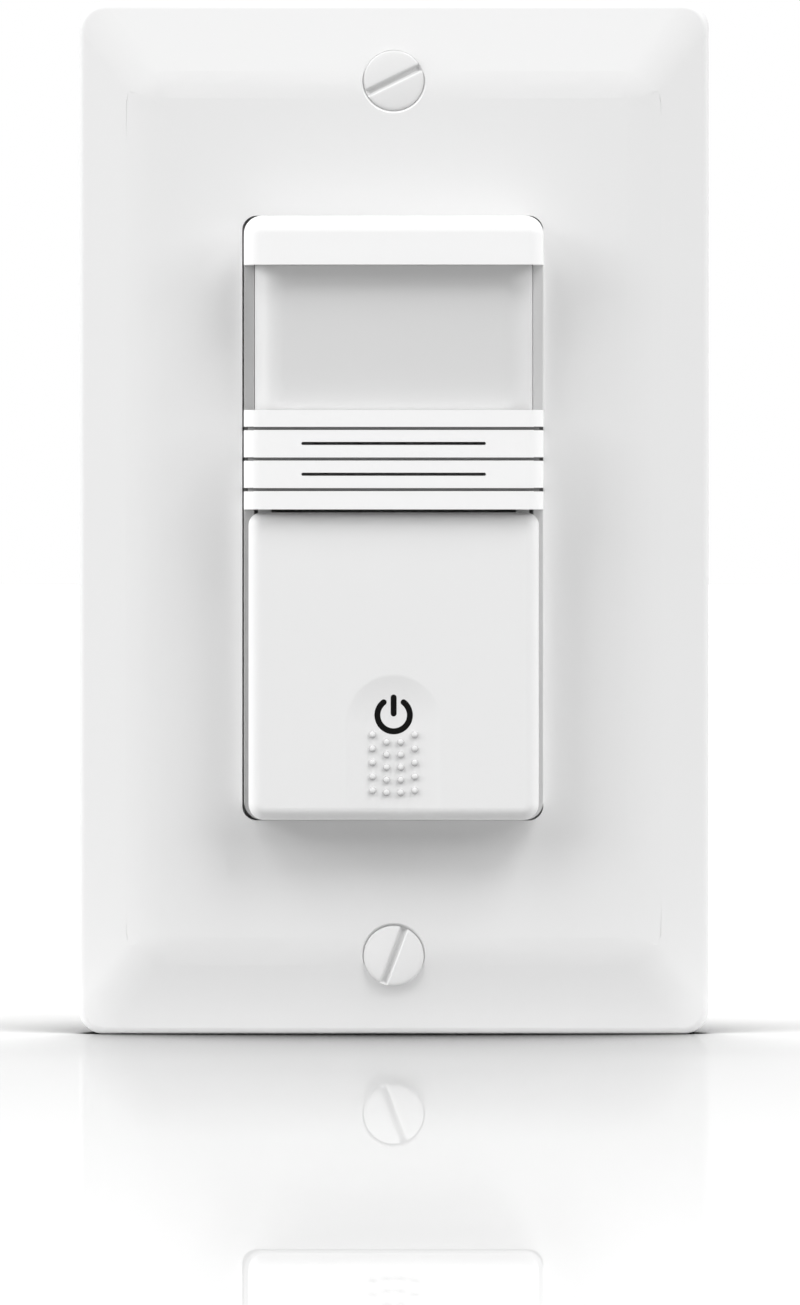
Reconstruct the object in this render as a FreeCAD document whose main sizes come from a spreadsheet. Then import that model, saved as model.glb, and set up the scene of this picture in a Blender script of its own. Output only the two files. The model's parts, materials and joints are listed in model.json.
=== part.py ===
import FreeCAD, Part
import math
import os
import Sketcher

# A wall switch with a motion sensor: a wall plate, a moulded front frame with a sensor lens and a
# hinged push button, a steel yoke, and a rear housing with two circuit boards and screw terminals.
# X runs to the right and Z up as it is looked at, Y runs into the wall, and the wall is at y = 0.
# A height above the wall counts towards the viewer, so a height of 5 lies at y = -5.
# Lengths are in millimetres and angles in degrees.

SIZES = {
    # wall plate
    "plate_width": 69.85,
    "plate_height": 114.3,
    "plate_corner": 2.8,
    "plate_rim": 3.8,
    "plate_front": 5.6,
    "plate_wall": 2.0,
    "plate_lip": 1.4,
    "plate_inner_corner": 1.4,
    "plate_slope_side": 7.2,
    "plate_slope_end": 9.2,
    "plate_blend": 16.0,
    "plate_edge_round": 0.9,
    "plate_gap": 0.14,
    "plate_offset": 0.11,
    "plate_opening_corner": 1.6,
    "plate_screw_spacing": 96.84,
    "plate_rib": 1.0,
    "plate_rib_depth": 1.5,
    "plate_rib_place": 24.0,
    "plate_rib_end": 5.6,
    "plate_root": 1.0,
    "plate_boss_wall": 1.2,
    # screws that hold the wall plate
    "oval_head": 7.1,
    "oval_crown": 0.9,
    "oval_cone": 1.9,
    "oval_seat_play": 0.1,
    "slot_width": 0.85,
    "slot_depth": 1.2,
    "thread": 3.5,
    "plate_screw_reach": 5.5,
    "slot_turn_top": 26.0,
    "slot_turn_bottom": 69.5,
    # steel yoke
    "yoke_back": 0.3,
    "yoke_sheet": 1.2,
    "yoke_length": 106.4,
    "yoke_width": 41.0,
    "yoke_body": 74.0,
    "yoke_neck": 25.0,
    "yoke_ear": 32.0,
    "yoke_ear_length": 9.5,
    "yoke_ear_corner": 4.5,
    "yoke_bend": 1.2,
    "yoke_window_width": 30.0,
    "yoke_window_height": 61.0,
    "box_screw_spacing": 83.34,
    "box_slot_length": 6.6,
    "box_slot_width": 4.0,
    "break_notch": 1.2,
    "ground_tab_depth": 9.0,
    "ground_tab_height": 8.5,
    # box screws and their retainers
    "box_head": 7.0,
    "box_head_height": 1.8,
    "box_neck": 2.7,
    "box_screw_length": 31.0,
    "retainer_side": 8.6,
    "retainer_sheet": 0.6,
    "retainer_play": 0.2,
    "retainer_corner": 1.1,
    "shank_tip": 0.9,
    # front frame
    "frame_width": 33.0,
    "frame_height": 66.6,
    "frame_corner": 2.0,
    "frame_front": 12.1,
    "frame_round": 1.8,
    "frame_skin": 1.6,
    "frame_wall": 1.1,
    "flange_width": 41.0,
    "flange_height": 71.0,
    "flange_sheet": 1.4,
    "lens_rail": 6.6,
    "button_rail": 8.0,
    "window_top": 27.9,
    "window_bottom": 11.9,
    "band_bottom": 0.95,
    "deck_front": 4.3,
    "deck_sheet": 1.4,
    "deck_top": 10.8,
    "deck_rib": 1.0,
    "deck_rib_height": 0.6,
    "deck_rib_place": 10.8,
    "band_groove_width": 0.34,
    "band_groove_depth": 0.45,
    "band_groove_first": 3.13,
    "band_groove_pitch": 3.365,
    "vent_length": 20.3,
    "vent_first": 4.82,
    "vent_pitch": 3.39,
    "cheek_inner": 11.6,
    "cheek_sheet": 1.6,
    "cheek_half": 1.6,
    "cheek_round": 1.44,
    "boss_rise": 0.3,
    "boss_roof": 0.5,
    # lens and its holder
    "lens_front": 10.3,
    "lens_wall": 0.7,
    "lens_play": 0.06,
    "lens_side_round": 3.4,
    "lens_tuck": 1.9,
    "lens_back": 4.4,
    "ring_pitch": 1.1,
    "ring_depth": 0.28,
    "ring_foot": 0.175,
    "ring_first": 1.6,
    "holder_sheet": 1.2,
    "holder_play": 0.15,
    "sensor_rise": 19.9,
    "shroud_bore": 10.6,
    "shroud_wall": 0.9,
    "shroud_front": 6.0,
    # push button
    "button_front": 10.9,
    "button_width": 32.0,
    "button_skin": 1.5,
    "button_corner": 1.8,
    "button_overlap": 0.5,
    "button_round": 1.4,
    "button_gap": 0.35,
    "skirt_gap": 0.45,
    "skirt_wall": 1.2,
    "skirt_corner": 0.9,
    "skirt_inner_corner": 0.6,
    "skirt_back": 5.6,
    "scoop_half": 5.16,
    "scoop_depth": 0.4,
    "dot_foot": 0.6,
    "scoop_top": -17.3,
    "hinge_rise": 2.6,
    "hinge_front": 7.4,
    "peg_diameter": 2.0,
    "peg_play": 0.06,
    "arm_gap": 0.3,
    "post_drop": 25.4,
    "post_tip": 2.4,
    "post_root": 4.4,
    "post_hole_play": 1.2,
    "dot_size": 0.66,
    "dot_height": 0.2,
    "outer_dot_column": 2.32,
    "outer_dot_first": -23.85,
    "outer_dot_pitch": 1.54,
    "inner_dot_column": 0.78,
    "inner_dot_first": -24.67,
    "inner_dot_pitch": 1.39,
    # return spring of the button
    "spring_drop": 17.2,
    "spring_coil": 4.4,
    "spring_wire": 0.4,
    "spring_turns": 4.5,
    "spring_play": 0.25,
    "spring_cup": 1.2,
    # control board and what stands on it
    "board_front": 3.0,
    "board_sheet": 1.2,
    "board_width": 37.0,
    "board_height": 60.0,
    "board_notch_play": 0.5,
    "sensor_can": 9.2,
    "sensor_flange": 9.9,
    "sensor_flange_height": 0.5,
    "sensor_can_height": 4.3,
    "sensor_glass_width": 4.0,
    "sensor_glass_height": 3.0,
    "sensor_glass_sheet": 0.4,
    "sensor_glass_lap": 0.35,
    "pin_size": 0.45,
    "pin_hole_play": 0.11,
    "pin_reach": 0.9,
    "sensor_pin_circle": 5.08,
    "tact_side": 6.0,
    "tact_body": 3.5,
    "tact_plunger": 3.4,
    "tact_tip_edge": 0.2,
    "tact_leg_place": 2.76,
    "tact_leg_rise": 2.0,
    "case_corner": 0.5,
    "tact_travel": 0.65,
    "tact_play": 0.05,
    "tact_bore_play": 0.05,
    "trimmer_side": 6.6,
    "trimmer_body": 3.2,
    "trimmer_place": 9.2,
    "trimmer_drop": 9.0,
    "dial_size": 4.6,
    "dial_front": 4.0,
    "dial_slot_width": 0.8,
    "dial_slot_depth": 0.9,
    "dial_shaft": 2.6,
    "dial_bore_floor": 1.05,
    "dial_shaft_foot": 1.6,
    "dial_play": 0.05,
    "dial_gap": 0.3,
    "light_sensor_side": 3.0,
    "light_sensor_round": 0.75,
    "light_sensor_place": -9.5,
    "led_side": 2.0,
    "led_base": 1.0,
    "led_place": 9.5,
    "chip_width": 8.6,
    "chip_height": 3.9,
    "chip_sheet": 1.5,
    "chip_rise": 5.0,
    # power board and what stands on it
    "power_front": 9.0,
    "power_sheet": 1.6,
    "power_width": 38.0,
    "power_height": 58.0,
    "header_length": 15.24,
    "header_width": 2.5,
    "header_rise": 15.8,
    "relay_width": 15.4,
    "relay_height": 19.2,
    "relay_depth": 15.0,
    "relay_drop": 6.4,
    "case_round": 0.45,
    "cans_rise": 15.9,
    "can_capacitor_place": 9.4,
    "low_parts_drop": 23.1,
    "varistor_place": 7.5,
    "can_capacitor": 8.0,
    "can_capacitor_height": 12.0,
    "film_width": 13.0,
    "film_height": 6.0,
    "film_depth": 11.0,
    "varistor_disc": 9.0,
    "varistor_sheet": 4.0,
    "resistor_size": 3.4,
    "resistor_length": 9.0,
    "choke_size": 8.0,
    "choke_core": 5.8,
    "choke_height": 9.0,
    "choke_flange": 1.4,
    # rear housing and terminals
    "housing_width": 43.5,
    "housing_height": 67.0,
    "housing_depth": 28.7,
    "housing_wall": 1.8,
    "housing_corner": 2.5,
    "housing_inner_corner": 1.25,
    "housing_round": 1.4,
    "waist_half": 15.0,
    "waist_start": 12.0,
    "terminal_rise": 14.0,
    "bay_wall": 1.6,
    "bay_height": 12.0,
    "bay_start": 13.4,
    "lug_sheet": 1.0,
    "lug_height": 9.0,
    "lug_width": 9.0,
    "lug_tongue": 3.0,
    "lug_tongue_play": 0.2,
    "clamp_side": 8.4,
    "clamp_sheet": 1.0,
    "clamp_gap": 0.5,
    "terminal_head": 8.0,
    "terminal_head_height": 1.8,
    "terminal_thread": 4.0,
    "wire_hole": 2.4,
    "column_size": 5.6,
    "column_side": 18.3,
    "column_rise": 30.0,
    "column_end": 0.9,
    "tip_hole_play": 0.4,
    "wire_spread": 3.0,
    "wire_inset": 1.6,
    "long_screw": 2.5,
    "long_screw_head": 4.4,
    "long_screw_head_height": 1.6,
    "long_screw_edge": 0.22,
    "long_screw_cross": 3.5,
    "long_screw_cross_depth": 0.8,
    "screw_play": 0.05,
}

# shares of a length: of a ball's radius in a head's crown, of a half width in a slot's round ends, of
# a pitch in a lens ring, and by how much a driver slot's sketch outreaches its head
CROWN_SHARE = 0.46
ALMOST_HALF = 0.499
RING_SHARE = 0.98
SLOT_REACH = 1.2

# counts, sides, and lengths that only tell edges apart
GROOVE_COUNT = 3
VENT_COUNT = 2
DOT_COUNT = 5
RING_COUNT = 6
TRIMMERS = {"range": -1, "time": 0, "light": 1}
FINE = 1e-4

# turns in degrees, and the sketcher's code for a circle's centre
FULL_TURN = 360.0
RIGHT_ANGLE = 90
CENTRE_POINT = 3


class Length:
    """A length in millimetres that also knows its formula in the sheet's cells."""

    def __init__(self, number, formula=None):
        self.number = float(number)
        self.formula = formula or f"({number!r})"

    def joined(self, sign, other, number):
        return Length(number, f"({self.formula} {sign} {other.formula})")

    def __add__(self, other):
        other = length(other)
        return self.joined("+", other, self.number + other.number)

    def __sub__(self, other):
        other = length(other)
        return self.joined("-", other, self.number - other.number)

    def __mul__(self, other):
        other = length(other)
        return self.joined("*", other, self.number * other.number)

    def __truediv__(self, other):
        other = length(other)
        return self.joined("/", other, self.number / other.number)

    def __radd__(self, other):
        return length(other) + self

    def __rsub__(self, other):
        return length(other) - self

    def __rmul__(self, other):
        return length(other) * self

    def __neg__(self):
        return length(0) - self


def length(thing):
    """A Length as it is, or a plain number as one."""
    return thing if isinstance(thing, Length) else Length(thing)


class Sheet:
    """The document's table of driving sizes, read as attributes that are Lengths."""

    def __init__(self, document, sizes):
        self.cells = document.addObject("Spreadsheet::Sheet", "size")
        for row, (name, number) in enumerate(sizes.items(), start=1):
            self.cells.set(f"A{row}", str(number))
            self.cells.setAlias(f"A{row}", name)
            setattr(self, name, Length(number, f"size.{name}"))


document = FreeCAD.newDocument("motion_switch")
size = Sheet(document, SIZES)
document.recompute()
nodes = []


def vector(x, y, z=0.0):
    return FreeCAD.Vector(x, y, z)


def bind(thing, path, amount):
    """Tie a property to a length's formula."""
    thing.setExpression(path, length(amount).formula)


def place(thing, x=0, y=0, z=0):
    """Put an object's origin at a point given by formulas."""
    for letter, amount in zip("xyz", (x, y, z)):
        bind(thing, f"Placement.Base.{letter}", amount)


# outlines: a circle is (x, y, radius), and a polygon is a list of corners (x, y) or (x, y, round)


def circle(x, y, radius):
    return (length(x), length(y), length(radius))


def rectangle(left, bottom, right, top, corner=None):
    """A rectangle from its four sides, with rounded corners where a radius is given."""
    corners = ((left, bottom), (right, bottom), (right, top), (left, top))
    return [point if corner is None else (*point, corner) for point in corners]


def centred(width, height, corner=None, x=0, y=0):
    """A rectangle about a centre."""
    half_width, half_height = length(width) / 2, length(height) / 2
    return rectangle(x - half_width, y - half_height, x + half_width, y + half_height, corner)


def obround(x, y, run, across):
    """A slot along the sketch's first axis, just short of full half circles at its ends."""
    return centred(run, across, length(across) * ALMOST_HALF, x, y)


def fix_point(sketch, geometry, place_code, x, y):
    """Hold one point of the sketch at its distances from the origin."""
    for kind, amount in (("DistanceX", x), ("DistanceY", y)):
        constraint = Sketcher.Constraint(kind, -1, 1, geometry, place_code, amount.number)
        index = sketch.addConstraint(constraint)
        bind(sketch, f"Constraints[{index}]", amount)


def fix_radius(sketch, geometry, radius):
    index = sketch.addConstraint(Sketcher.Constraint("Radius", geometry, radius.number))
    bind(sketch, f"Constraints[{index}]", radius)


def draw_circle(sketch, x, y, radius):
    centre = vector(x.number, y.number)
    ring = sketch.addGeometry(Part.Circle(centre, vector(0, 0, 1), radius.number), False)
    fix_point(sketch, ring, CENTRE_POINT, x, y)
    fix_radius(sketch, ring, radius)


def heading(start, end):
    """The unit direction from one point to another."""
    run = (end[0] - start[0], end[1] - start[1])
    far = math.hypot(*run)
    return run[0] / far, run[1] / far


def corner_arc(before, point, after, radius):
    """A corner's arc: where it starts and ends, its centre, and whether it turns left."""
    into, out = heading(before, point), heading(point, after)
    turn = math.atan2(into[0] * out[1] - into[1] * out[0], into[0] * out[0] + into[1] * out[1])
    back = radius * math.tan(abs(turn) / 2)
    start = (point[0] - into[0] * back, point[1] - into[1] * back)
    end = (point[0] + out[0] * back, point[1] + out[1] * back)
    side = 1 if turn > 0 else -1
    centre = (start[0] - into[1] * radius * side, start[1] + into[0] * radius * side)
    return start, end, centre, turn > 0


def draw_polygon(sketch, corners):
    """Lines from corner to corner, with an arc tangent to both lines where a corner is round."""
    corners = [tuple(length(amount) for amount in corner) for corner in corners]
    points = [(corner[0].number, corner[1].number) for corner in corners]
    count = len(corners)
    bends = []
    for index, corner in enumerate(corners):
        radius = corner[2].number if len(corner) > 2 else 0.0
        bends.append(corner_arc(points[index - 1], points[index], points[(index + 1) % count], radius))
    lines = []
    for index in range(count):
        start, end = bends[index][1], bends[(index + 1) % count][0]
        lines.append(sketch.addGeometry(Part.LineSegment(vector(*start), vector(*end)), False))
    for index, corner in enumerate(corners):
        before, after = lines[index - 1], lines[index]
        if len(corner) == 2:
            sketch.addConstraint(Sketcher.Constraint("Coincident", before, 2, after, 1))
            fix_point(sketch, after, 1, *corner)
            continue
        start, end, centre, left = bends[index]
        first, last = (start, end) if left else (end, start)
        low = math.atan2(first[1] - centre[1], first[0] - centre[0])
        high = math.atan2(last[1] - centre[1], last[0] - centre[0])
        high += 2 * math.pi if high < low else 0
        round_edge = Part.Circle(vector(*centre), vector(0, 0, 1), corner[2].number)
        arc = sketch.addGeometry(Part.ArcOfCircle(round_edge, low, high), False)
        sketch.addConstraint(Sketcher.Constraint("Tangent", before, 2, arc, 1 if left else 2))
        sketch.addConstraint(Sketcher.Constraint("Tangent", after, 1, arc, 2 if left else 1))
        fix_radius(sketch, arc, corner[2])
        tip = sketch.addGeometry(Part.Point(vector(*points[index])), True)
        sketch.addConstraint(Sketcher.Constraint("PointOnObject", tip, 1, before))
        sketch.addConstraint(Sketcher.Constraint("PointOnObject", tip, 1, after))
        fix_point(sketch, tip, 1, corner[0], corner[1])


def origin_part(body, role):
    """One of the body's own origin planes or axes."""
    return next(feature for feature in body.Origin.OriginFeatures if feature.Role == role)


def new_body(name):
    body = document.addObject("PartDesign::Body", name)
    body.Label = name
    nodes.append(body)
    return body


def sketch_on(body, outlines, offset=0, plane="XZ_Plane"):
    """A sketch on an origin plane of the body, moved along the plane's normal."""
    sketch = body.newObject("Sketcher::SketchObject", "outline")
    sketch.AttachmentSupport = (origin_part(body, plane), [""])
    sketch.MapMode = "FlatFace"
    bind(sketch, "AttachmentOffset.Base.z", offset)
    for outline in outlines:
        if isinstance(outline, tuple):
            draw_circle(sketch, *outline)
        else:
            draw_polygon(sketch, outline)
    sketch.recompute()
    return sketch


def finished(body, feature):
    """Recompute a new feature and make it the body's tip."""
    body.Tip = feature
    feature.recompute()
    body.recompute()
    return feature


def pad(body, name, outlines, low, high, plane="XZ_Plane"):
    """Add material between two offsets along the plane's normal, which is the viewer's side for XZ."""
    feature = body.newObject("PartDesign::Pad", name)
    feature.Profile = sketch_on(body, outlines, low, plane)
    bind(feature, "Length", high - low)
    return finished(body, feature)


def pocket(body, name, outlines, low, high, plane="XZ_Plane"):
    """Take away material between two offsets along the plane's normal."""
    feature = body.newObject("PartDesign::Pocket", name)
    feature.Profile = sketch_on(body, outlines, high, plane)
    bind(feature, "Length", high - low)
    return finished(body, feature)


def loft(body, kind, name, sections):
    """A straight-sided loft through outlines, each given with its offset."""
    sketches = [sketch_on(body, [outline], offset) for outline, offset in sections]
    feature = body.newObject(kind, name)
    feature.Profile = sketches[0]
    feature.Sections = [(sketch, [""]) for sketch in sketches[1:]]
    feature.Ruled = True
    return finished(body, feature)


def turned(body, kind, name, outline, axis="Y_Axis", plane="XY_Plane"):
    """A full turn of an outline about an axis of the body's origin."""
    feature = body.newObject(kind, name)
    feature.Profile = sketch_on(body, [outline], 0, plane)
    feature.ReferenceAxis = (origin_part(body, axis), [""])
    feature.Angle = FULL_TURN
    return finished(body, feature)


def rounded(body, name, radius, chosen, kind="PartDesign::Fillet"):
    """Round or chamfer the edges of the tip that the test picks by their boxes."""
    base = body.Tip
    edges = enumerate(base.Shape.Edges, start=1)
    feature = body.newObject(kind, name)
    feature.Base = (base, [f"Edge{index}" for index, edge in edges if chosen(edge)])
    bind(feature, "Radius" if kind.endswith("Fillet") else "Size", radius)
    return finished(body, feature)


def mirrored(body, name, features, plane):
    feature = body.newObject("PartDesign::Mirrored", name)
    feature.Originals = features
    feature.MirrorPlane = (origin_part(body, plane), [""])
    return finished(body, feature)


def repeated(body, name, features, axis, pitch, count):
    """Copies of features along an origin axis, a pitch apart."""
    feature = body.newObject("PartDesign::LinearPattern", name)
    feature.Originals = features
    feature.Direction = (origin_part(body, axis), [""])
    bind(feature, "Length", pitch * (count - 1))
    feature.Occurrences = count
    return finished(body, feature)


def near(number, amount):
    """Whether a measured number is a length's value."""
    return abs(number - length(amount).number) < FINE


def flat_edge(edge, height):
    """Whether an edge lies all over at one height above the wall."""
    box = edge.BoundBox
    return near(-box.YMin, height) and near(-box.YMax, height)


def make_wall_plate():
    """A shallow tray with a soft sloping border, a window for the device and two screw seats."""
    body = new_body("wall_plate")
    slope_side, slope_end = size.plate_slope_side, size.plate_slope_end
    outline = centred(size.plate_width, size.plate_height, size.plate_corner)
    flat = centred(size.plate_width - 2 * slope_side, size.plate_height - 2 * slope_end, size.plate_corner)
    pad(body, "rim", [outline], 0, size.plate_rim)
    loft(body, "PartDesign::AdditiveLoft", "slope", [(outline, size.plate_rim), (flat, size.plate_front)])
    rounded(body, "blend", size.plate_blend, lambda edge: flat_edge(edge, size.plate_front))
    rounded(body, "edge_round", size.plate_edge_round, lambda edge: flat_edge(edge, size.plate_rim))
    wall = size.plate_wall
    inner_corner = size.plate_inner_corner
    inner = centred(size.plate_width - 2 * wall, size.plate_height - 2 * wall, inner_corner)
    ceiling = size.plate_front - wall
    inner_flat = centred(
        size.plate_width - 2 * (slope_side + wall),
        size.plate_height - 2 * (slope_end + wall),
        inner_corner,
    )
    step = size.plate_rim - size.plate_lip
    pocket(body, "tray", [inner], 0, step)
    loft(body, "PartDesign::SubtractiveLoft", "tray_slope", [(inner, step), (inner_flat, ceiling)])
    middle = size.plate_screw_spacing / 2
    boss = size.thread / 2 + size.oval_seat_play + size.plate_boss_wall
    yoke_front = size.yoke_back + size.yoke_sheet
    root = ceiling + size.plate_root
    pad(body, "screw_bosses", [circle(0, z, boss) for z in (middle, -middle)], yoke_front, root)
    ribs = []
    for side in (1, -1):
        for end in (1, -1):
            low = end * (size.flange_height / 2 + size.plate_rib)
            high = end * (size.plate_height / 2 - size.plate_rib_end)
            left = side * size.plate_rib_place - size.plate_rib / 2
            bottom, top = (low, high) if end > 0 else (high, low)
            ribs.append(rectangle(left, bottom, left + size.plate_rib, top))
    pad(body, "ribs", ribs, ceiling - size.plate_rib_depth, root)
    opening = centred(
        size.frame_width + 2 * size.plate_gap,
        size.frame_height + 2 * size.plate_gap,
        size.plate_opening_corner,
        -size.plate_offset,
    )
    pocket(body, "opening", [opening], 0, size.plate_front)
    seat = size.oval_head / 2 + size.oval_seat_play
    hole = size.thread / 2 + size.oval_seat_play
    for name, z in (("top_seat", middle), ("bottom_seat", -middle)):
        pocket(body, name + "_hole", [circle(0, z, hole)], 0, size.plate_front)
        cone_foot = size.plate_front - size.oval_cone
        sections = [(circle(0, z, hole), cone_foot), (circle(0, z, seat), size.plate_front)]
        loft(body, "PartDesign::SubtractiveLoft", name, sections)


def dome(radius, crown, foot):
    """A half outline of a domed head from its middle to its rim, for a turn about the Y axis."""
    swell = radius * radius / crown * CROWN_SHARE
    return [(0, -crown - foot), (radius / 2, -crown - foot, swell), (radius, -foot)]


def make_plate_screws():
    """Two raised countersunk screws with slotted heads, each left as it was last turned."""
    head, crown, shank = size.oval_head / 2, size.oval_crown, size.thread / 2
    reach = size.plate_screw_reach + size.oval_cone
    outline = dome(head, crown, length(0)) + [(shank, size.oval_cone), (shank, reach), (0, reach)]
    middle = size.plate_screw_spacing / 2
    for name, z, turn in (
        ("plate_screw_top", middle, size.slot_turn_top),
        ("plate_screw_bottom", -middle, size.slot_turn_bottom),
    ):
        screw = new_body(name)
        turned(screw, "PartDesign::Revolution", "turned_screw", outline)
        long_slot = centred(size.oval_head * SLOT_REACH, size.slot_width)
        slot = pocket(screw, "driver_slot", [long_slot], crown - size.slot_depth, crown + size.slot_depth)
        bind(slot.Profile[0], "AttachmentOffset.Rotation.Angle", turn)
        place(screw, 0, -size.plate_front, z)
        finished(screw, slot)


def make_yoke():
    """The steel strap with its ears, a window for the housing, screw slots and a bent ground tab."""
    body = new_body("yoke")
    half, body_half = size.yoke_width / 2, size.yoke_body / 2
    end, neck, ear = size.yoke_length / 2, size.yoke_neck / 2, size.yoke_ear / 2
    ear_start, corner = end - size.yoke_ear_length, size.yoke_ear_corner
    tab_end = body_half + size.ground_tab_height
    front, bend = size.yoke_back + size.yoke_sheet, size.yoke_bend
    right_up = [
        (half, body_half, bend),
        (neck, body_half, bend),
        (neck, ear_start, bend),
        (ear, ear_start, bend),
        (ear, end, corner),
    ]
    left_up = [(-corner_point[0], *corner_point[1:]) for corner_point in reversed(right_up)]
    left_down = [
        (-half, -tab_end, bend),
        (-ear, -tab_end, bend),
        (-ear, -end, corner),
    ]
    right_down = [(across, -up, radius) for across, up, radius in reversed(right_up)]
    pad(body, "strap", [right_up + left_up + left_down + right_down], size.yoke_back, front)
    window = centred(size.yoke_window_width, size.yoke_window_height, bend)
    box_place, plate_place = size.box_screw_spacing / 2, size.plate_screw_spacing / 2
    slots = [obround(0, z, size.box_slot_length, size.box_slot_width) for z in (box_place, -box_place)]
    holes = [circle(0, z, size.thread / 2 + size.screw_play) for z in (plate_place, -plate_place)]
    pocket(body, "window_and_slots", [window] + slots + holes, size.yoke_back, front)
    long_holes = [
        circle(x, z, size.long_screw / 2 + size.screw_play)
        for x in (size.column_side, -size.column_side)
        for z in (size.column_rise, -size.column_rise)
    ]
    pocket(body, "housing_screw_holes", long_holes, size.yoke_back, front)
    notch = size.break_notch
    notches = [centred(notch, notch * 2, None, side * neck, rise) for side in (1, -1) for rise in (end, -end)]
    pocket(body, "break_notches", notches, size.yoke_back, front)
    tab = rectangle(-front, -tab_end, size.ground_tab_depth, -tab_end + size.ground_tab_height)
    pad(body, "ground_tab", [tab], -half, -half + size.yoke_sheet, "YZ_Plane")
    hole_radius = size.terminal_thread / 2 + size.screw_play
    screw_hole = circle(size.ground_tab_depth / 2, -tab_end + size.ground_tab_height / 2, hole_radius)
    pocket(body, "ground_hole", [screw_hole], -half, -half + size.yoke_sheet, "YZ_Plane")


def part_feature(name, shape):
    """A sub-part whose shape is worked out from the sheet's sizes."""
    feature = document.addObject("Part::Feature", name)
    feature.Label = name
    feature.Shape = shape
    nodes.append(feature)
    return feature


def group(name, master, spots):
    """Copies of a body's shape as one sub-part, each moved to a spot (x, y, z) and turned about Z."""
    nodes.remove(master)
    solids = []
    for x, y, z, turn in spots:
        copy = master.Shape.copy()
        copy.rotate(vector(0, 0, 0), vector(0, 0, 1), turn)
        copy.translate(vector(length(x).number, length(y).number, length(z).number))
        solids.append(copy)
    return part_feature(name, Part.Compound(solids))


def make_box_screws():
    """Two captive screws for the wall box: a slotted head, a neck and a threaded shank."""
    body = new_body("box_screw")
    head, tip = size.box_head / 2, size.box_screw_length
    neck_end = size.yoke_sheet + size.retainer_sheet + size.retainer_play
    shank, neck = size.thread / 2, size.box_neck / 2
    outline = [
        (0, -size.box_head_height),
        (head, -size.box_head_height, size.box_head_height / 2),
        (head, 0),
        (neck, 0),
        (neck, neck_end),
        (shank, neck_end + (shank - neck)),
        (shank, tip - size.shank_tip),
        (shank - size.shank_tip, tip),
        (0, tip),
    ]
    turned(body, "PartDesign::Revolution", "turned_screw", outline)
    head_top = size.box_head_height
    slot = centred(size.box_head * SLOT_REACH, size.slot_width)
    pocket(body, "driver_slot", [slot], head_top - size.slot_depth, head_top + size.slot_depth)
    front = size.yoke_back + size.yoke_sheet
    middle = size.box_screw_spacing / 2
    group("box_screws", body, [(0, -front, z, 0) for z in (middle, -middle)])


def make_screw_retainers():
    """Square fibre washers behind the yoke that keep the box screws from falling out."""
    body = new_body("screw_retainer")
    side, back = size.retainer_side, size.yoke_back - size.retainer_sheet
    bore = size.box_neck / 2 + size.screw_play
    washer = centred(side, side, size.retainer_corner)
    pad(body, "washer", [washer, circle(0, 0, bore)], back, size.yoke_back)
    middle = size.box_screw_spacing / 2
    group("screw_retainers", body, [(0, 0, z, 0) for z in (middle, -middle)])


def band_groove():
    """The section of one groove round the front and sides of the band, seen from above."""
    outer = size.frame_width / 2 + size.frame_wall
    inner = size.frame_width / 2 - size.band_groove_depth
    front = -size.frame_front + size.band_groove_depth
    bend = size.frame_round - size.band_groove_depth
    start, clear = -size.plate_rim - size.frame_skin, -size.frame_front - size.frame_wall
    return [
        (-outer, start),
        (-outer, clear),
        (outer, clear),
        (outer, start),
        (inner, start),
        (inner, front, bend),
        (-inner, front, bend),
        (-inner, start),
    ]


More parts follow.
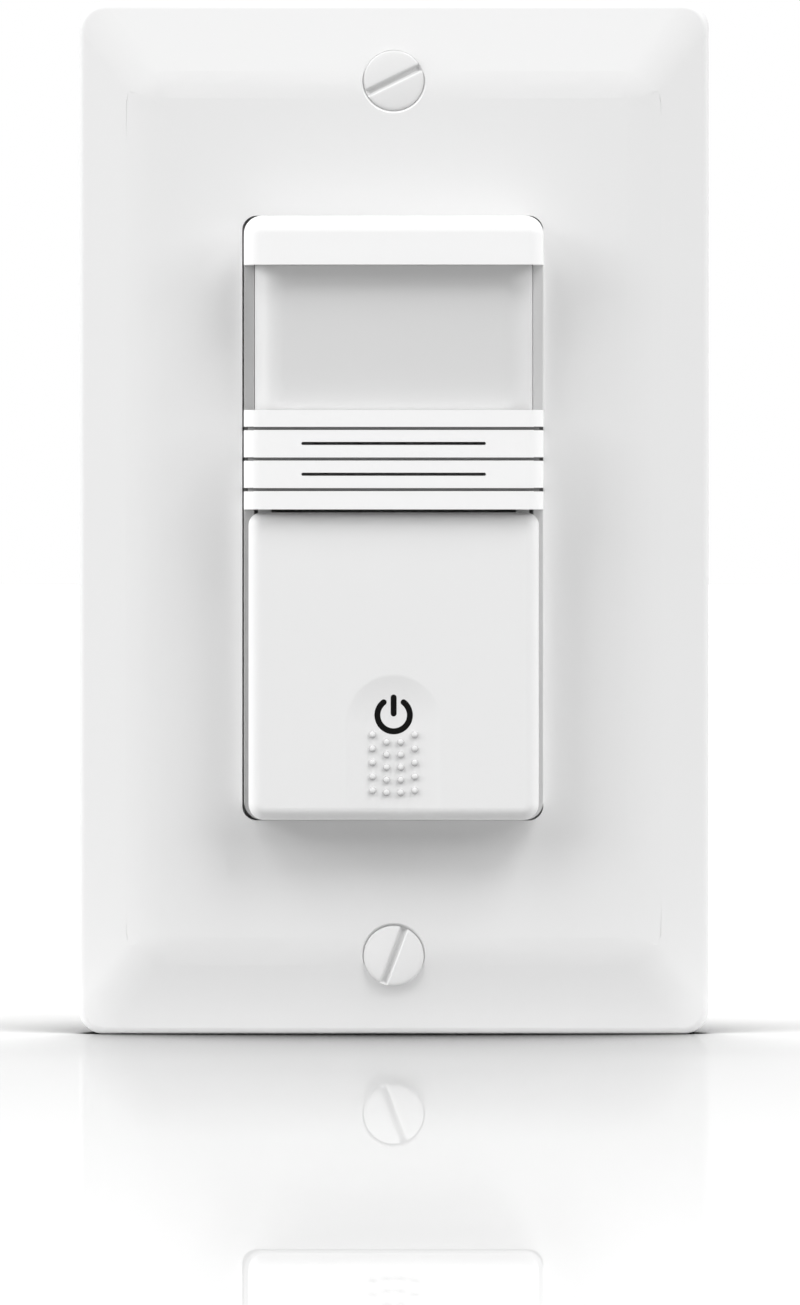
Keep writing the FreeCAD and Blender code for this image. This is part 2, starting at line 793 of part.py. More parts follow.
def make_front_frame():
    """The moulded frame: cap, window for the lens, grooved and vented band, deck and hinge cheeks."""
    body = new_body("front_frame")
    base = size.yoke_back + size.yoke_sheet
    flange_front = base + size.flange_sheet
    outline = centred(size.frame_width, size.frame_height, size.frame_corner)
    flange = centred(size.flange_width, size.flange_height, size.frame_corner)
    pad(body, "flange", [flange], base, flange_front)
    pad(body, "block", [outline], base, size.frame_front)
    rounded(body, "front_round", size.frame_round, lambda edge: flat_edge(edge, size.frame_front))
    half, end = size.frame_width / 2, size.frame_height / 2
    clear = half + size.frame_wall
    window = rectangle(-clear, size.window_bottom, clear, size.window_top)
    pocket(body, "window_step", [window], size.lens_rail, size.frame_front + size.frame_wall)
    well = rectangle(-clear, -end - size.frame_wall, clear, size.band_bottom)
    pocket(body, "button_step", [well], size.button_rail, size.frame_front + size.frame_wall)
    inside, ceiling = half - size.frame_wall, size.frame_front - size.frame_skin
    floor_z, roof_z = -end + size.frame_wall, end - size.frame_skin
    cavity = rectangle(-inside, floor_z, inside, roof_z, size.frame_corner / 2)
    pocket(body, "cavity", [cavity], base, ceiling)
    deck_back = size.deck_front - size.deck_sheet
    into_wall = size.frame_wall / 2
    deck = rectangle(-inside - into_wall, floor_z - into_wall, inside + into_wall, size.deck_top)
    pad(body, "deck", [deck], deck_back, size.deck_front)
    rib, rib_front = size.deck_rib, size.deck_front + size.deck_rib_height
    rib_low, rib_high = floor_z + size.skirt_wall * 2, -size.trimmer_drop - size.trimmer_side
    rib_place = -size.deck_rib_place
    first_rib = rectangle(rib_place - rib / 2, rib_low, rib_place + rib / 2, rib_high)
    left_rib = pad(body, "left_rib", [first_rib], size.deck_front - rib / 2, rib_front)
    mirrored(body, "right_rib", [left_rib], "YZ_Plane")
    cup_bore = size.spring_coil / 2 + size.spring_wire / 2 + size.spring_play
    cup = [circle(0, -size.spring_drop, cup_bore + rib), circle(0, -size.spring_drop, cup_bore)]
    pad(body, "spring_cup", cup, size.deck_front - rib / 2, size.deck_front + size.spring_cup)
    cheek_low, cheek_high = size.hinge_rise - size.cheek_half, size.hinge_rise + size.cheek_half
    cheek_front = size.hinge_front + size.cheek_half
    cheek = [
        (-size.deck_front + rib / 2, cheek_low),
        (-size.deck_front + rib / 2, cheek_high),
        (-cheek_front, cheek_high, size.cheek_round),
        (-cheek_front, cheek_low, size.cheek_round),
    ]
    outer_cheek = size.cheek_inner + size.cheek_sheet
    right_cheek = pad(body, "right_cheek", [cheek], size.cheek_inner, outer_cheek, "YZ_Plane")
    mirrored(body, "left_cheek", [right_cheek], "YZ_Plane")
    bore = circle(-size.hinge_front, size.hinge_rise, size.peg_diameter / 2 + size.peg_play)
    pocket(body, "peg_bores", [bore], -outer_cheek - rib, outer_cheek + rib, "YZ_Plane")
    holes = [circle(0, -size.post_drop, size.post_root / 2 + size.post_hole_play)]
    dial_hole = size.dial_size / 2 + size.dial_gap
    for side in TRIMMERS.values():
        holes.append(circle(side * size.trimmer_place, -size.trimmer_drop, dial_hole))
    pocket(body, "deck_holes", holes, deck_back, size.deck_front)
    front_groove = pocket(
        body,
        "band_groove",
        [band_groove()],
        size.band_groove_first - size.band_groove_width / 2,
        size.band_groove_first + size.band_groove_width / 2,
        "XY_Plane",
    )
    repeated(body, "band_grooves", [front_groove], "Z_Axis", size.band_groove_pitch, GROOVE_COUNT)
    first_vent = obround(0, size.vent_first, size.vent_length, size.band_groove_width)
    vent = pocket(body, "vent", [first_vent], ceiling, size.frame_front + size.frame_wall)
    repeated(body, "vents", [vent], "Z_Axis", size.vent_pitch, VENT_COUNT)
    bosses = [circle(x, z, size.long_screw_head / 2) for x, z in column_spots()]
    pad(body, "screw_bosses", bosses, flange_front - rib / 2, flange_front + size.boss_rise)
    bores = [circle(x, z, size.long_screw / 2 + size.screw_play) for x, z in column_spots()]
    pocket(body, "screw_bores", bores, base, bore_end())


def column_spots():
    """Where the four long screws stand."""
    return [(x * size.column_side, z * size.column_rise) for x in (1, -1) for z in (1, -1)]


def bore_end():
    """How high above the wall the long screws' bores in the frame end."""
    return size.yoke_back + size.yoke_sheet + size.flange_sheet + size.boss_rise - size.boss_roof


def make_lens():
    """The white sensor lens: a box with round side edges, its inner face cut in stepped rings."""
    body = new_body("lens")
    half = size.frame_width / 2 - size.frame_wall - size.lens_play
    low, high = size.window_bottom - size.lens_tuck, size.window_top + size.lens_tuck
    pad(body, "block", [rectangle(-half, low, half, high)], size.lens_back, size.lens_front)
    tall = (high - low).number
    rounded(
        body,
        "side_round",
        size.lens_side_round,
        lambda edge: flat_edge(edge, size.lens_front) and near(edge.Length, tall),
    )
    wall = size.lens_wall
    bend = size.lens_side_round - wall
    inner = half - wall
    hollow = [
        (-inner, -size.lens_back + wall),
        (-inner, -size.lens_front + wall, bend),
        (inner, -size.lens_front + wall, bend),
        (inner, -size.lens_back + wall),
    ]
    pocket(body, "hollow", [hollow], low + wall, high - wall, "XY_Plane")
    inner_face = -size.lens_front + wall
    teeth = []
    for number in range(RING_COUNT):
        start = size.ring_first + size.ring_pitch * number
        face = inner_face + size.ring_foot
        crest, end = inner_face - size.ring_depth, start + size.ring_pitch * RING_SHARE
        teeth.append([(start, face), (start, crest), (end, face)])
    groove = body.newObject("PartDesign::Groove", "stepped_rings")
    sketch = sketch_on(body, teeth, 0, "XY_Plane")
    bind(sketch, "AttachmentOffset.Base.z", size.sensor_rise)
    line = sketch.addGeometry(Part.LineSegment(vector(0, 0), vector(0, 1)), True)
    fix_point(sketch, line, 1, length(0), length(0))
    fix_point(sketch, line, 2, length(0), length(1))
    groove.Profile = sketch
    groove.ReferenceAxis = (sketch, ["Axis0"])
    groove.Angle = FULL_TURN
    finished(body, groove)


def make_lens_holder():
    """The carrier that closes the window from behind, with a shroud round the sensor."""
    body = new_body("lens_holder")
    half = size.frame_width / 2 - size.frame_wall - size.holder_play
    top = size.frame_height / 2 - size.frame_skin - size.holder_play
    bottom = size.deck_top + size.holder_play
    front = size.lens_back
    back = front - size.holder_sheet
    pad(body, "plate", [rectangle(-half, bottom, half, top, size.frame_wall)], back, front)
    bore = size.shroud_bore / 2
    pad(body, "shroud", [circle(0, size.sensor_rise, bore + size.shroud_wall)], back, size.shroud_front)
    pocket(body, "shroud_bore", [circle(0, size.sensor_rise, bore)], back, size.shroud_front)
    light = size.light_sensor_side / 2 + size.dial_gap
    lights = [circle(x, size.sensor_rise, light) for x in (size.light_sensor_place, size.led_place)]
    pocket(body, "light_holes", lights, back, front)


def is_outer_front_edge(edge):
    """Whether an edge runs along the button face's sides or lower end, at its front."""
    box = edge.BoundBox
    in_front = -box.YMin > (size.button_front - size.button_round).number
    at_bottom = near(box.ZMin, -size.frame_height / 2)
    at_side = near(abs(box.XMin), size.button_width / 2) and near(abs(box.XMax), size.button_width / 2)
    return in_front and (at_bottom or at_side)


def make_push_button():
    """The hinged button: a thin shell with a finger scoop, raised dots, two arms with pegs and a post."""
    body = new_body("push_button")
    half, bottom = size.button_width / 2, -size.frame_height / 2
    top = size.band_bottom - size.button_gap
    skin_back = size.button_front - size.button_skin
    wall_inside = size.frame_width / 2 - size.frame_wall
    skirt, skirt_bottom = wall_inside - size.skirt_gap, bottom + size.frame_wall + size.skirt_gap
    face = [
        (-half, bottom, size.button_corner),
        (half, bottom, size.button_corner),
        (half, top),
        (-half, top),
    ]
    pad(body, "face", [face], skin_back, size.button_front)
    swell = (size.scoop_half * size.scoop_half + size.scoop_depth * size.scoop_depth) / (size.scoop_depth * 2)
    centre = size.button_front + swell - size.scoop_depth
    scoop_middle = size.scoop_top - size.scoop_half
    trough = body.newObject("PartDesign::SubtractiveCylinder", "scoop_trough")
    bind(trough, "Radius", swell)
    bind(trough, "Height", scoop_middle - bottom + size.frame_wall)
    place(trough, 0, -centre, bottom - size.frame_wall)
    finished(body, trough)
    bowl = body.newObject("PartDesign::SubtractiveSphere", "scoop_bowl")
    bind(bowl, "Radius", swell)
    place(bowl, 0, -centre, scoop_middle)
    finished(body, bowl)
    rounded(body, "face_round", size.button_round, is_outer_front_edge)
    overlap = size.button_overlap
    skirt_outline = rectangle(-skirt, skirt_bottom, skirt, top, size.skirt_corner)
    inner_outline = rectangle(
        -skirt + size.skirt_wall,
        skirt_bottom + size.skirt_wall,
        skirt - size.skirt_wall,
        top - size.skirt_wall,
        size.skirt_inner_corner,
    )
    pad(body, "skirt", [skirt_outline, inner_outline], size.skirt_back, skin_back + overlap)
    arm_inner = size.cheek_inner + size.cheek_sheet + size.arm_gap
    reach, round_end = size.hinge_rise + size.cheek_half, size.cheek_round
    arm = [
        (-size.hinge_front + size.cheek_half, top - size.skirt_wall),
        (-size.hinge_front + size.cheek_half, reach, round_end),
        (-size.hinge_front - size.cheek_half, reach, round_end),
        (-size.hinge_front - size.cheek_half, top - size.skirt_wall),
    ]
    right_arm = pad(body, "right_arm", [arm], arm_inner, skirt, "YZ_Plane")
    mirrored(body, "left_arm", [right_arm], "YZ_Plane")
    peg_end = size.cheek_inner + size.arm_gap
    peg = circle(-size.hinge_front, size.hinge_rise, size.peg_diameter / 2)
    right_peg = pad(body, "right_peg", [peg], peg_end, arm_inner + overlap, "YZ_Plane")
    mirrored(body, "left_peg", [right_peg], "YZ_Plane")
    post_tip_height = size.tact_body + size.tact_plunger - size.board_front
    drop = -size.post_drop
    sections = [
        (circle(0, drop, size.post_tip / 2), post_tip_height + size.tact_play),
        (circle(0, drop, size.post_root / 2), skin_back + overlap),
    ]
    loft(body, "PartDesign::AdditiveLoft", "post", sections)
    cup_bore = size.spring_coil / 2 + size.spring_wire / 2 + size.spring_play
    spring = -size.spring_drop
    cup = [circle(0, spring, cup_bore + size.deck_rib), circle(0, spring, cup_bore)]
    pad(body, "spring_cup", cup, skin_back - size.spring_cup, skin_back + overlap)
    rib = size.deck_rib
    cross = rectangle(-skirt + rib, drop - rib / 2, skirt - rib, drop + rib / 2)
    pad(body, "cross_rib", [cross], size.skirt_back + rib, skin_back + overlap)
    low = size.button_front - size.dot_foot
    for column, first, pitch, name in (
        (size.outer_dot_column, size.outer_dot_first, size.outer_dot_pitch, "outer_dots"),
        (size.inner_dot_column, size.inner_dot_first, size.inner_dot_pitch, "inner_dots"),
    ):
        rise = size.button_front - size.scoop_depth + size.dot_height
        dots = [
            circle(side * column, first - pitch * number, size.dot_size / 2)
            for side in (1, -1)
            for number in range(DOT_COUNT)
        ]
        pad(body, name, dots, low, rise)


def make_button_spring():
    """A round-wire coil between the deck and the button."""
    bottom = size.deck_front + size.spring_wire / 2
    top = size.button_front - size.button_skin - size.spring_wire / 2 - size.tact_play
    tall = (top - bottom).number
    pitch = tall / size.spring_turns.number
    radius = size.spring_coil.number / 2
    path = Part.makeHelix(pitch, tall, radius)
    ring = Part.makeCircle(size.spring_wire.number / 2, vector(radius, 0, 0), vector(0, 1, 0))
    coil = Part.Wire(path.Edges).makePipeShell([Part.Wire(ring)], True, True)
    coil.rotate(vector(0, 0, 0), vector(1, 0, 0), RIGHT_ANGLE)
    feature = part_feature("button_spring", coil)
    place(feature, 0, -bottom, -size.spring_drop)


def board(name, width, tall, faces, slots):
    """A circuit board parallel to the wall, with slots, and round notches at the screw columns."""
    body = new_body(name)
    pad(body, "laminate", [centred(width, tall)], *faces)
    notch = size.column_size / 2 + size.board_notch_play
    pocket(body, "notches", [circle(x, z, notch) for x, z in column_spots()], *faces)
    if slots:
        pocket(body, "slots", slots, *faces)
    return body


def control_faces():
    """The heights of the control board's two faces."""
    return -size.board_front - size.board_sheet, -size.board_front


def power_faces():
    """The heights of the mains board's two faces."""
    return -size.power_front - size.power_sheet, -size.power_front


def pin_end():
    """The height at which pins and legs end behind the control board."""
    return -size.board_front - size.board_sheet - size.pin_reach


def make_control_board():
    """The board behind the deck, with holes for the legs of the sensor and of the small switch."""
    control = board("control_board", size.board_width, size.board_height, control_faces(), [])
    radius = size.pin_size / 2 + size.screw_play
    pocket(control, "pin_holes", [circle(x, z, radius) for x, z in sensor_pins()], *control_faces())
    hole = size.pin_size + 2 * size.pin_hole_play
    pocket(control, "leg_holes", [centred(hole, hole, None, x, z) for x, z in tact_legs()], *control_faces())


def sensor_pins():
    """Where the sensor's pins stand, on three quarters of a ring."""
    ring, rise = size.sensor_pin_circle / 2, size.sensor_rise
    return [(ring, rise), (length(0), rise + ring), (-ring, rise)]


def tact_legs():
    """Where the small switch's four legs stand."""
    place_x, place_z = size.tact_leg_place, size.tact_leg_rise
    return [(x * place_x, z * place_z - size.post_drop) for x in (1, -1) for z in (1, -1)]


def make_sensor():
    """The motion sensor's metal can with a window, its filter glass, and its base with pins."""
    front = -size.board_front
    base_front = front + size.sensor_flange_height
    can_front = front + size.sensor_can_height
    rise = size.sensor_rise
    can = new_body("sensor_can")
    pad(can, "can", [circle(0, rise, size.sensor_can / 2)], base_front, can_front)
    rounded(can, "can_round", size.sensor_glass_sheet, lambda edge: flat_edge(edge, can_front))
    inner = size.sensor_can / 2 - size.sensor_glass_sheet
    pocket(can, "can_hollow", [circle(0, rise, inner)], base_front, can_front - size.sensor_glass_sheet)
    window = centred(size.sensor_glass_width, size.sensor_glass_height, None, 0, rise)
    pocket(can, "can_window", [window], can_front - size.sensor_glass_sheet * 2, can_front)
    glass = new_body("sensor_glass")
    behind = can_front - size.sensor_glass_sheet
    lap = 2 * size.sensor_glass_lap
    pane = centred(size.sensor_glass_width + lap, size.sensor_glass_height + lap, None, 0, rise)
    pad(glass, "pane", [pane], behind - size.sensor_glass_sheet, behind)
    foot = new_body("sensor_base")
    pad(foot, "flange", [circle(0, rise, size.sensor_flange / 2)], front, base_front)
    pins = [circle(x, z, size.pin_size / 2) for x, z in sensor_pins()]
    pad(foot, "pins", pins, pin_end(), front + size.sensor_flange_height / 2)


def make_push_switch():
    """The small switch that the button presses: its body and its sliding plunger."""
    front, drop = -size.board_front, -size.post_drop
    body = new_body("tact_switch")
    side = size.tact_side
    pad(body, "case", [centred(side, side, size.case_corner, 0, drop)], front, front + size.tact_body)
    bore = size.post_tip / 2 + size.tact_bore_play
    rest = front + size.tact_body / 2
    bore_floor = rest - size.tact_travel - size.tact_bore_play
    pocket(body, "bore", [circle(0, drop, bore)], bore_floor, front + size.tact_body)
    legs = [centred(size.pin_size, size.pin_size, None, x, z) for x, z in tact_legs()]
    pad(body, "legs", legs, pin_end(), front + size.tact_body / 2)
    plunger = new_body("tact_plunger")
    tip = front + size.tact_body + size.tact_plunger
    pad(plunger, "plunger", [circle(0, drop, size.post_tip / 2)], rest, tip)
    rounded(plunger, "tip_edge", size.tact_tip_edge, lambda edge: flat_edge(edge, tip), "PartDesign::Chamfer")


def make_trimmer(name, side):
    """A trimmer's square case and its slotted dial, which turns in it."""
    x, z = side * size.trimmer_place, -size.trimmer_drop
    front = -size.board_front
    case_front = front + size.trimmer_body
    case = new_body(name + "_trimmer")
    across = size.trimmer_side
    pad(case, "case", [centred(across, across, size.case_corner, x, z)], front, case_front)
    shaft = size.dial_shaft / 2
    pocket(case, "bore", [circle(x, z, shaft + size.dial_play)], front + size.dial_bore_floor, case_front)
    dial = new_body(name + "_dial")
    head_back, dial_front = case_front + size.dial_gap, size.dial_front
    pad(dial, "shaft", [circle(0, 0, shaft)], front + size.dial_shaft_foot, head_back + size.dial_gap)
    pad(dial, "head", [circle(0, 0, size.dial_size / 2)], head_back, dial_front)
    slot = centred(size.dial_slot_width, size.dial_size * SLOT_REACH)
    pocket(dial, "slot", [slot], dial_front - size.dial_slot_depth, dial_front + size.dial_gap)
    place(dial, x, 0, z)


def box_body(name, x, z, width, tall, low, high, corner=None):
    """A block standing on a board, between two heights above the wall."""
    body = new_body(name)
    pad(body, "case", [centred(width, tall, corner, x, z)], low, high)
    return body


def make_small_parts():
    """The light sensor, the status lamp, the control chip and the header between the boards."""
    front, rise = -size.board_front, size.sensor_rise
    side = size.light_sensor_side
    light = new_body("light_sensor")
    pad(light, "case", [circle(size.light_sensor_place, rise, side / 2)], front, front + side)
    rounded(light, "dome", size.light_sensor_round, lambda edge: flat_edge(edge, front + side))
    lamp = new_body("status_lamp")
    base = centred(size.led_side, size.led_side, None, size.led_place, rise)
    pad(lamp, "base", [base], front, front + size.led_base)
    bulb = circle(size.led_place, rise, size.led_side / 2 - size.dial_play)
    pad(lamp, "bulb", [bulb], front + size.led_base / 2, front + side)
    back = -size.board_front - size.board_sheet
    chip_back = back - size.chip_sheet
    box_body("control_chip", 0, size.chip_rise, size.chip_width, size.chip_height, chip_back, back)
    header_z = size.header_rise
    box_body("board_header", 0, header_z, size.header_length, size.header_width, -size.power_front, back)


def make_power_board():
    """The mains board, with slots for the terminal tongues."""
    tongue_x = size.waist_half + size.bay_wall + size.lug_sheet / 2
    across = size.lug_sheet + 2 * size.lug_tongue_play
    tall = size.lug_tongue + 2 * size.lug_tongue_play
    slots = [
        centred(across, tall, None, x * tongue_x, z * size.terminal_rise)
        for x in (1, -1)
        for z in (1, -1)
    ]
    board("power_board", size.power_width, size.power_height, power_faces(), slots)


def make_power_parts():
    """The relay, the two capacitors, the varistor, the resistor and the choke behind the mains board."""
    low, _ = power_faces()
    pin = size.pin_size
    relay_z, relay_back = -size.relay_drop, low - size.relay_depth
    relay_top = relay_z + size.relay_height / 2
    relay = box_body("relay", pin, relay_z, size.relay_width, size.relay_height, relay_back, low, pin)
    rounded(relay, "case_round", size.case_round, lambda edge: flat_edge(edge, relay_back))
    can_x, can_z = size.can_capacitor_place, size.cans_rise
    can = new_body("storage_capacitor")
    can_back = low - size.can_capacitor_height
    pad(can, "can", [circle(can_x, can_z, size.can_capacitor / 2)], can_back, low)
    rounded(can, "can_round", size.case_round, lambda edge: flat_edge(edge, can_back))
    film_x = -size.waist_half + size.film_width / 2 + pin
    film_back = low - size.film_depth
    film = box_body("film_capacitor", film_x, can_z, size.film_width, size.film_height, film_back, low, pin)
    rounded(film, "case_round", size.case_round, lambda edge: flat_edge(edge, film_back))
    low_z = -size.low_parts_drop
    disc = new_body("varistor")
    disc_centre = -low + size.varistor_disc / 2
    disc_z = low_z - size.varistor_sheet / 2
    outline = circle(-size.varistor_place, disc_centre, size.varistor_disc / 2)
    pad(disc, "disc", [outline], disc_z, disc_z + size.varistor_sheet, "XY_Plane")
    resistor = new_body("fuse_resistor")
    bar = circle(size.varistor_place, -low + size.resistor_size / 2, size.resistor_size / 2)
    bar_low = low_z - size.resistor_size
    pad(resistor, "bar", [bar], bar_low, bar_low + size.resistor_length, "XY_Plane")
    choke = new_body("choke")
    tall, flange = size.choke_height, size.choke_flange
    core, rim = size.choke_core / 2, size.choke_size / 2
    reel = [
        (0, 0),
        (rim, 0),
        (rim, flange),
        (core, flange),
        (core, tall - flange),
        (rim, tall - flange),
        (rim, tall),
        (0, tall),
    ]
    turned(choke, "PartDesign::Revolution", "reel", reel)
    place(choke, -size.waist_half + size.choke_size, -low, relay_top + rim + pin)


def make_rear_housing():
    """The rear shell: wide at the front, narrow between the terminal bays, with screw columns."""
    body = new_body("rear_housing")
    front, back = size.yoke_back, size.yoke_back - size.housing_depth
    half, end, wall = size.housing_width / 2, size.housing_height / 2, size.housing_wall
    pad(body, "block", [centred(size.housing_width, size.housing_height, size.housing_corner)], back, front)
    rounded(body, "back_round", size.housing_round, lambda edge: flat_edge(edge, back))
    inner = size.housing_inner_corner
    wide = centred(size.housing_width - 2 * wall, size.housing_height - 2 * wall, inner)
    pocket(body, "wide_cavity", [wide], -size.waist_start, front)
    deep = centred(size.waist_half * 2, size.housing_height - 2 * wall, inner)
    pocket(body, "deep_cavity", [deep], back + wall, -size.waist_start)
    bay_floor = size.waist_half + size.bay_wall
    bays = []
    for x in (1, -1):
        for z in (1, -1):
            middle = z * size.terminal_rise
            edges = sorted((x * bay_floor, x * (half + wall)), key=lambda side: side.number)
            bottom, top = middle - size.bay_height / 2, middle + size.bay_height / 2
            bays.append(rectangle(edges[0], bottom, edges[1], top))
    pocket(body, "terminal_bays", bays, back + wall, -size.bay_start)
    slit = size.lug_sheet + 2 * size.lug_tongue_play
    tall = size.lug_tongue + 2 * size.lug_tongue_play
    slits = [
        centred(slit, tall, None, x * (bay_floor + size.lug_sheet / 2), z * size.terminal_rise)
        for x in (1, -1)
        for z in (1, -1)
    ]
    pocket(body, "tongue_slits", slits, -size.bay_start - size.lug_sheet, -size.waist_start + size.lug_sheet)
    screw_y = terminal_middle()
    tip_hole = size.terminal_thread / 2 + size.tip_hole_play
    tips = [circle(screw_y, z * size.terminal_rise, tip_hole) for z in (1, -1)]
    pocket(body, "tip_holes", tips, -bay_floor - size.screw_play, bay_floor + size.screw_play, "YZ_Plane")
    spots = column_spots()
    columns = [circle(x, z, size.column_size / 2) for x, z in spots]
    pad(body, "columns", columns, -size.waist_start - size.column_end, front)
    bores = [circle(x, z, size.long_screw / 2 + size.screw_play * 2) for x, z in spots]
    pocket(body, "column_bores", bores, back, front)
    seats = [circle(x, z, size.long_screw_head / 2 + size.screw_play * 2) for x, z in spots]
    pocket(body, "head_seats", seats, back, back + size.long_screw_head_height + size.screw_play)
    wire_x = bay_floor + size.wire_inset + size.wire_hole / 2
    wires = []
    for x in (1, -1):
        for z in (1, -1):
            for step in (1, -1):
                rise = z * size.terminal_rise + step * size.wire_spread
                wires.append(circle(x * wire_x, rise, size.wire_hole / 2))
    pocket(body, "wire_holes", wires, back, back + wall)


def terminal_middle():
    """How far behind the wall the terminal screws' axes lie."""
    bay_back = size.housing_depth - size.yoke_back - size.housing_wall
    return (size.bay_start + bay_back) / 2


def make_terminals():
    """Brass lugs in the side bays, with clamp plates and binding screws, and the ground screw."""
    floor = size.waist_half + size.bay_wall
    middle = terminal_middle()
    lug = new_body("terminal_lug")
    half_width, half_height, tongue = size.lug_width / 2, size.lug_height / 2, size.lug_tongue / 2
    lug_front = middle - half_width
    outline = [
        (lug_front, -half_height),
        (middle + half_width, -half_height),
        (middle + half_width, half_height),
        (lug_front, half_height),
        (lug_front, tongue),
        (size.power_front - size.lug_sheet / 2, tongue),
        (size.power_front - size.lug_sheet / 2, -tongue),
        (lug_front, -tongue),
    ]
    thread = size.terminal_thread / 2
    hole = circle(middle, 0, thread + size.screw_play)
    pad(lug, "plate", [outline, hole], floor, floor + size.lug_sheet, "YZ_Plane")
    clamp = new_body("clamp_plate")
    clamp_floor = floor + size.lug_sheet + size.clamp_gap
    side = size.clamp_side
    clamp_outline = centred(side, side, size.case_corner, middle, 0)
    pad(clamp, "plate", [clamp_outline, hole], clamp_floor, clamp_floor + size.clamp_sheet, "YZ_Plane")
    rises = (size.terminal_rise, -size.terminal_rise)
    side_pair("terminal_lugs", lug, rises)
    side_pair("clamp_plates", clamp, rises)
    head_seat = clamp_floor + size.clamp_sheet
    screw = binding_screw("terminal_screw", head_seat - size.waist_half)
    spots = [(side * head_seat, middle, z, side * RIGHT_ANGLE) for side in (1, -1) for z in rises]
    group("terminal_screws", screw, spots)


def make_ground_screw():
    """The binding screw of the yoke's bent tab, its head to the left."""
    ground = binding_screw("ground_screw", size.yoke_sheet + size.clamp_gap + size.lug_sheet)
    ground.Placement.Rotation = FreeCAD.Rotation(vector(0, 0, 1), -RIGHT_ANGLE)
    tab_middle = -size.yoke_body / 2 - size.ground_tab_height / 2
    place(ground, -size.yoke_width / 2 - size.clamp_gap, size.ground_tab_depth / 2, tab_middle)


def side_pair(name, master, rises):
    """A flat piece of the right side, copied to both heights and mirrored to the left side."""
    nodes.remove(master)
    solids = []
    for z in rises:
        copy = master.Shape.copy()
        copy.translate(vector(0, 0, z.number))
        solids.append(copy)
        solids.append(copy.mirror(vector(0, 0, 0), vector(1, 0, 0)))
    return part_feature(name, Part.Compound(solids))


def binding_screw(name, reach):
    """A round-headed slotted screw about the Y axis, its head towards the front of its own frame."""
    body = new_body(name)
    head, tall, shank = size.terminal_head / 2, size.terminal_head_height, size.terminal_thread / 2
    outline = [
        (0, -tall),
        (head, -tall, tall / 2),
        (head, 0),
        (shank, 0),
        (shank, reach - size.case_corner),
        (shank - size.case_corner, reach),
        (0, reach),
    ]
    turned(body, "PartDesign::Revolution", "turned_screw", outline)
    slot = centred(size.terminal_head * SLOT_REACH, size.slot_width)
    pocket(body, "driver_slot", [slot], tall - size.slot_depth, tall + size.slot_depth)
    return body


def make_housing_screws():
    """Four long screws from the rear that draw the housing, the yoke and the frame together."""
    body = new_body("housing_screw")
    head, tall, shank = size.long_screw_head / 2, size.long_screw_head_height, size.long_screw / 2
    back = size.housing_depth - size.yoke_back
    seat = back - tall
    tip = -bore_end() + shank / 2
    outline = [
        (0, tip),
        (shank, tip),
        (shank, seat),
        (head, seat),
        (head, back - size.long_screw_edge),
        (head - size.long_screw_edge, back),
        (0, back),
    ]
    turned(body, "PartDesign::Revolution", "turned_screw", outline)
    long_side, short_side = size.long_screw_cross, size.slot_width
    deep = size.long_screw_cross_depth
    pocket(body, "driver_slot", [centred(long_side, short_side)], -back - deep, -back + deep)
    pocket(body, "driver_cross", [centred(short_side, long_side)], -back - deep, -back + deep)
    group("housing_screws", body, [(x, 0, z, 0) for x, z in column_spots()])


def check_and_write():
    """Stop at any failed object or shape, then write each sub-part to its own file."""
    document.recompute()
    for thing in document.Objects:
        if {"Invalid", "Error"} & set(thing.State):
            raise RuntimeError(f"{thing.Name} failed: {thing.State}")
    os.makedirs("parts", exist_ok=True)
    for node in nodes:
        if node.Shape.isNull() or not node.Shape.isValid() or not node.Shape.Solids:
            raise RuntimeError(f"{node.Label} has no valid shape")
        node.Shape.exportStep(os.path.join("parts", node.Label + ".step"))
        print(node.Label, len(node.Shape.Solids), round(node.Shape.Volume, 1))


make_wall_plate()
make_plate_screws()
make_yoke()
make_box_screws()
make_screw_retainers()
make_front_frame()
make_lens()
make_lens_holder()
make_push_button()
make_button_spring()
make_control_board()
make_sensor()
make_push_switch()
for trimmer_name, trimmer_side in TRIMMERS.items():
    make_trimmer(trimmer_name, trimmer_side)
make_small_parts()
make_power_board()
make_power_parts()
make_rear_housing()
make_terminals()
make_ground_screw()
make_housing_screws()
check_and_write()
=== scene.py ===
import json
import math

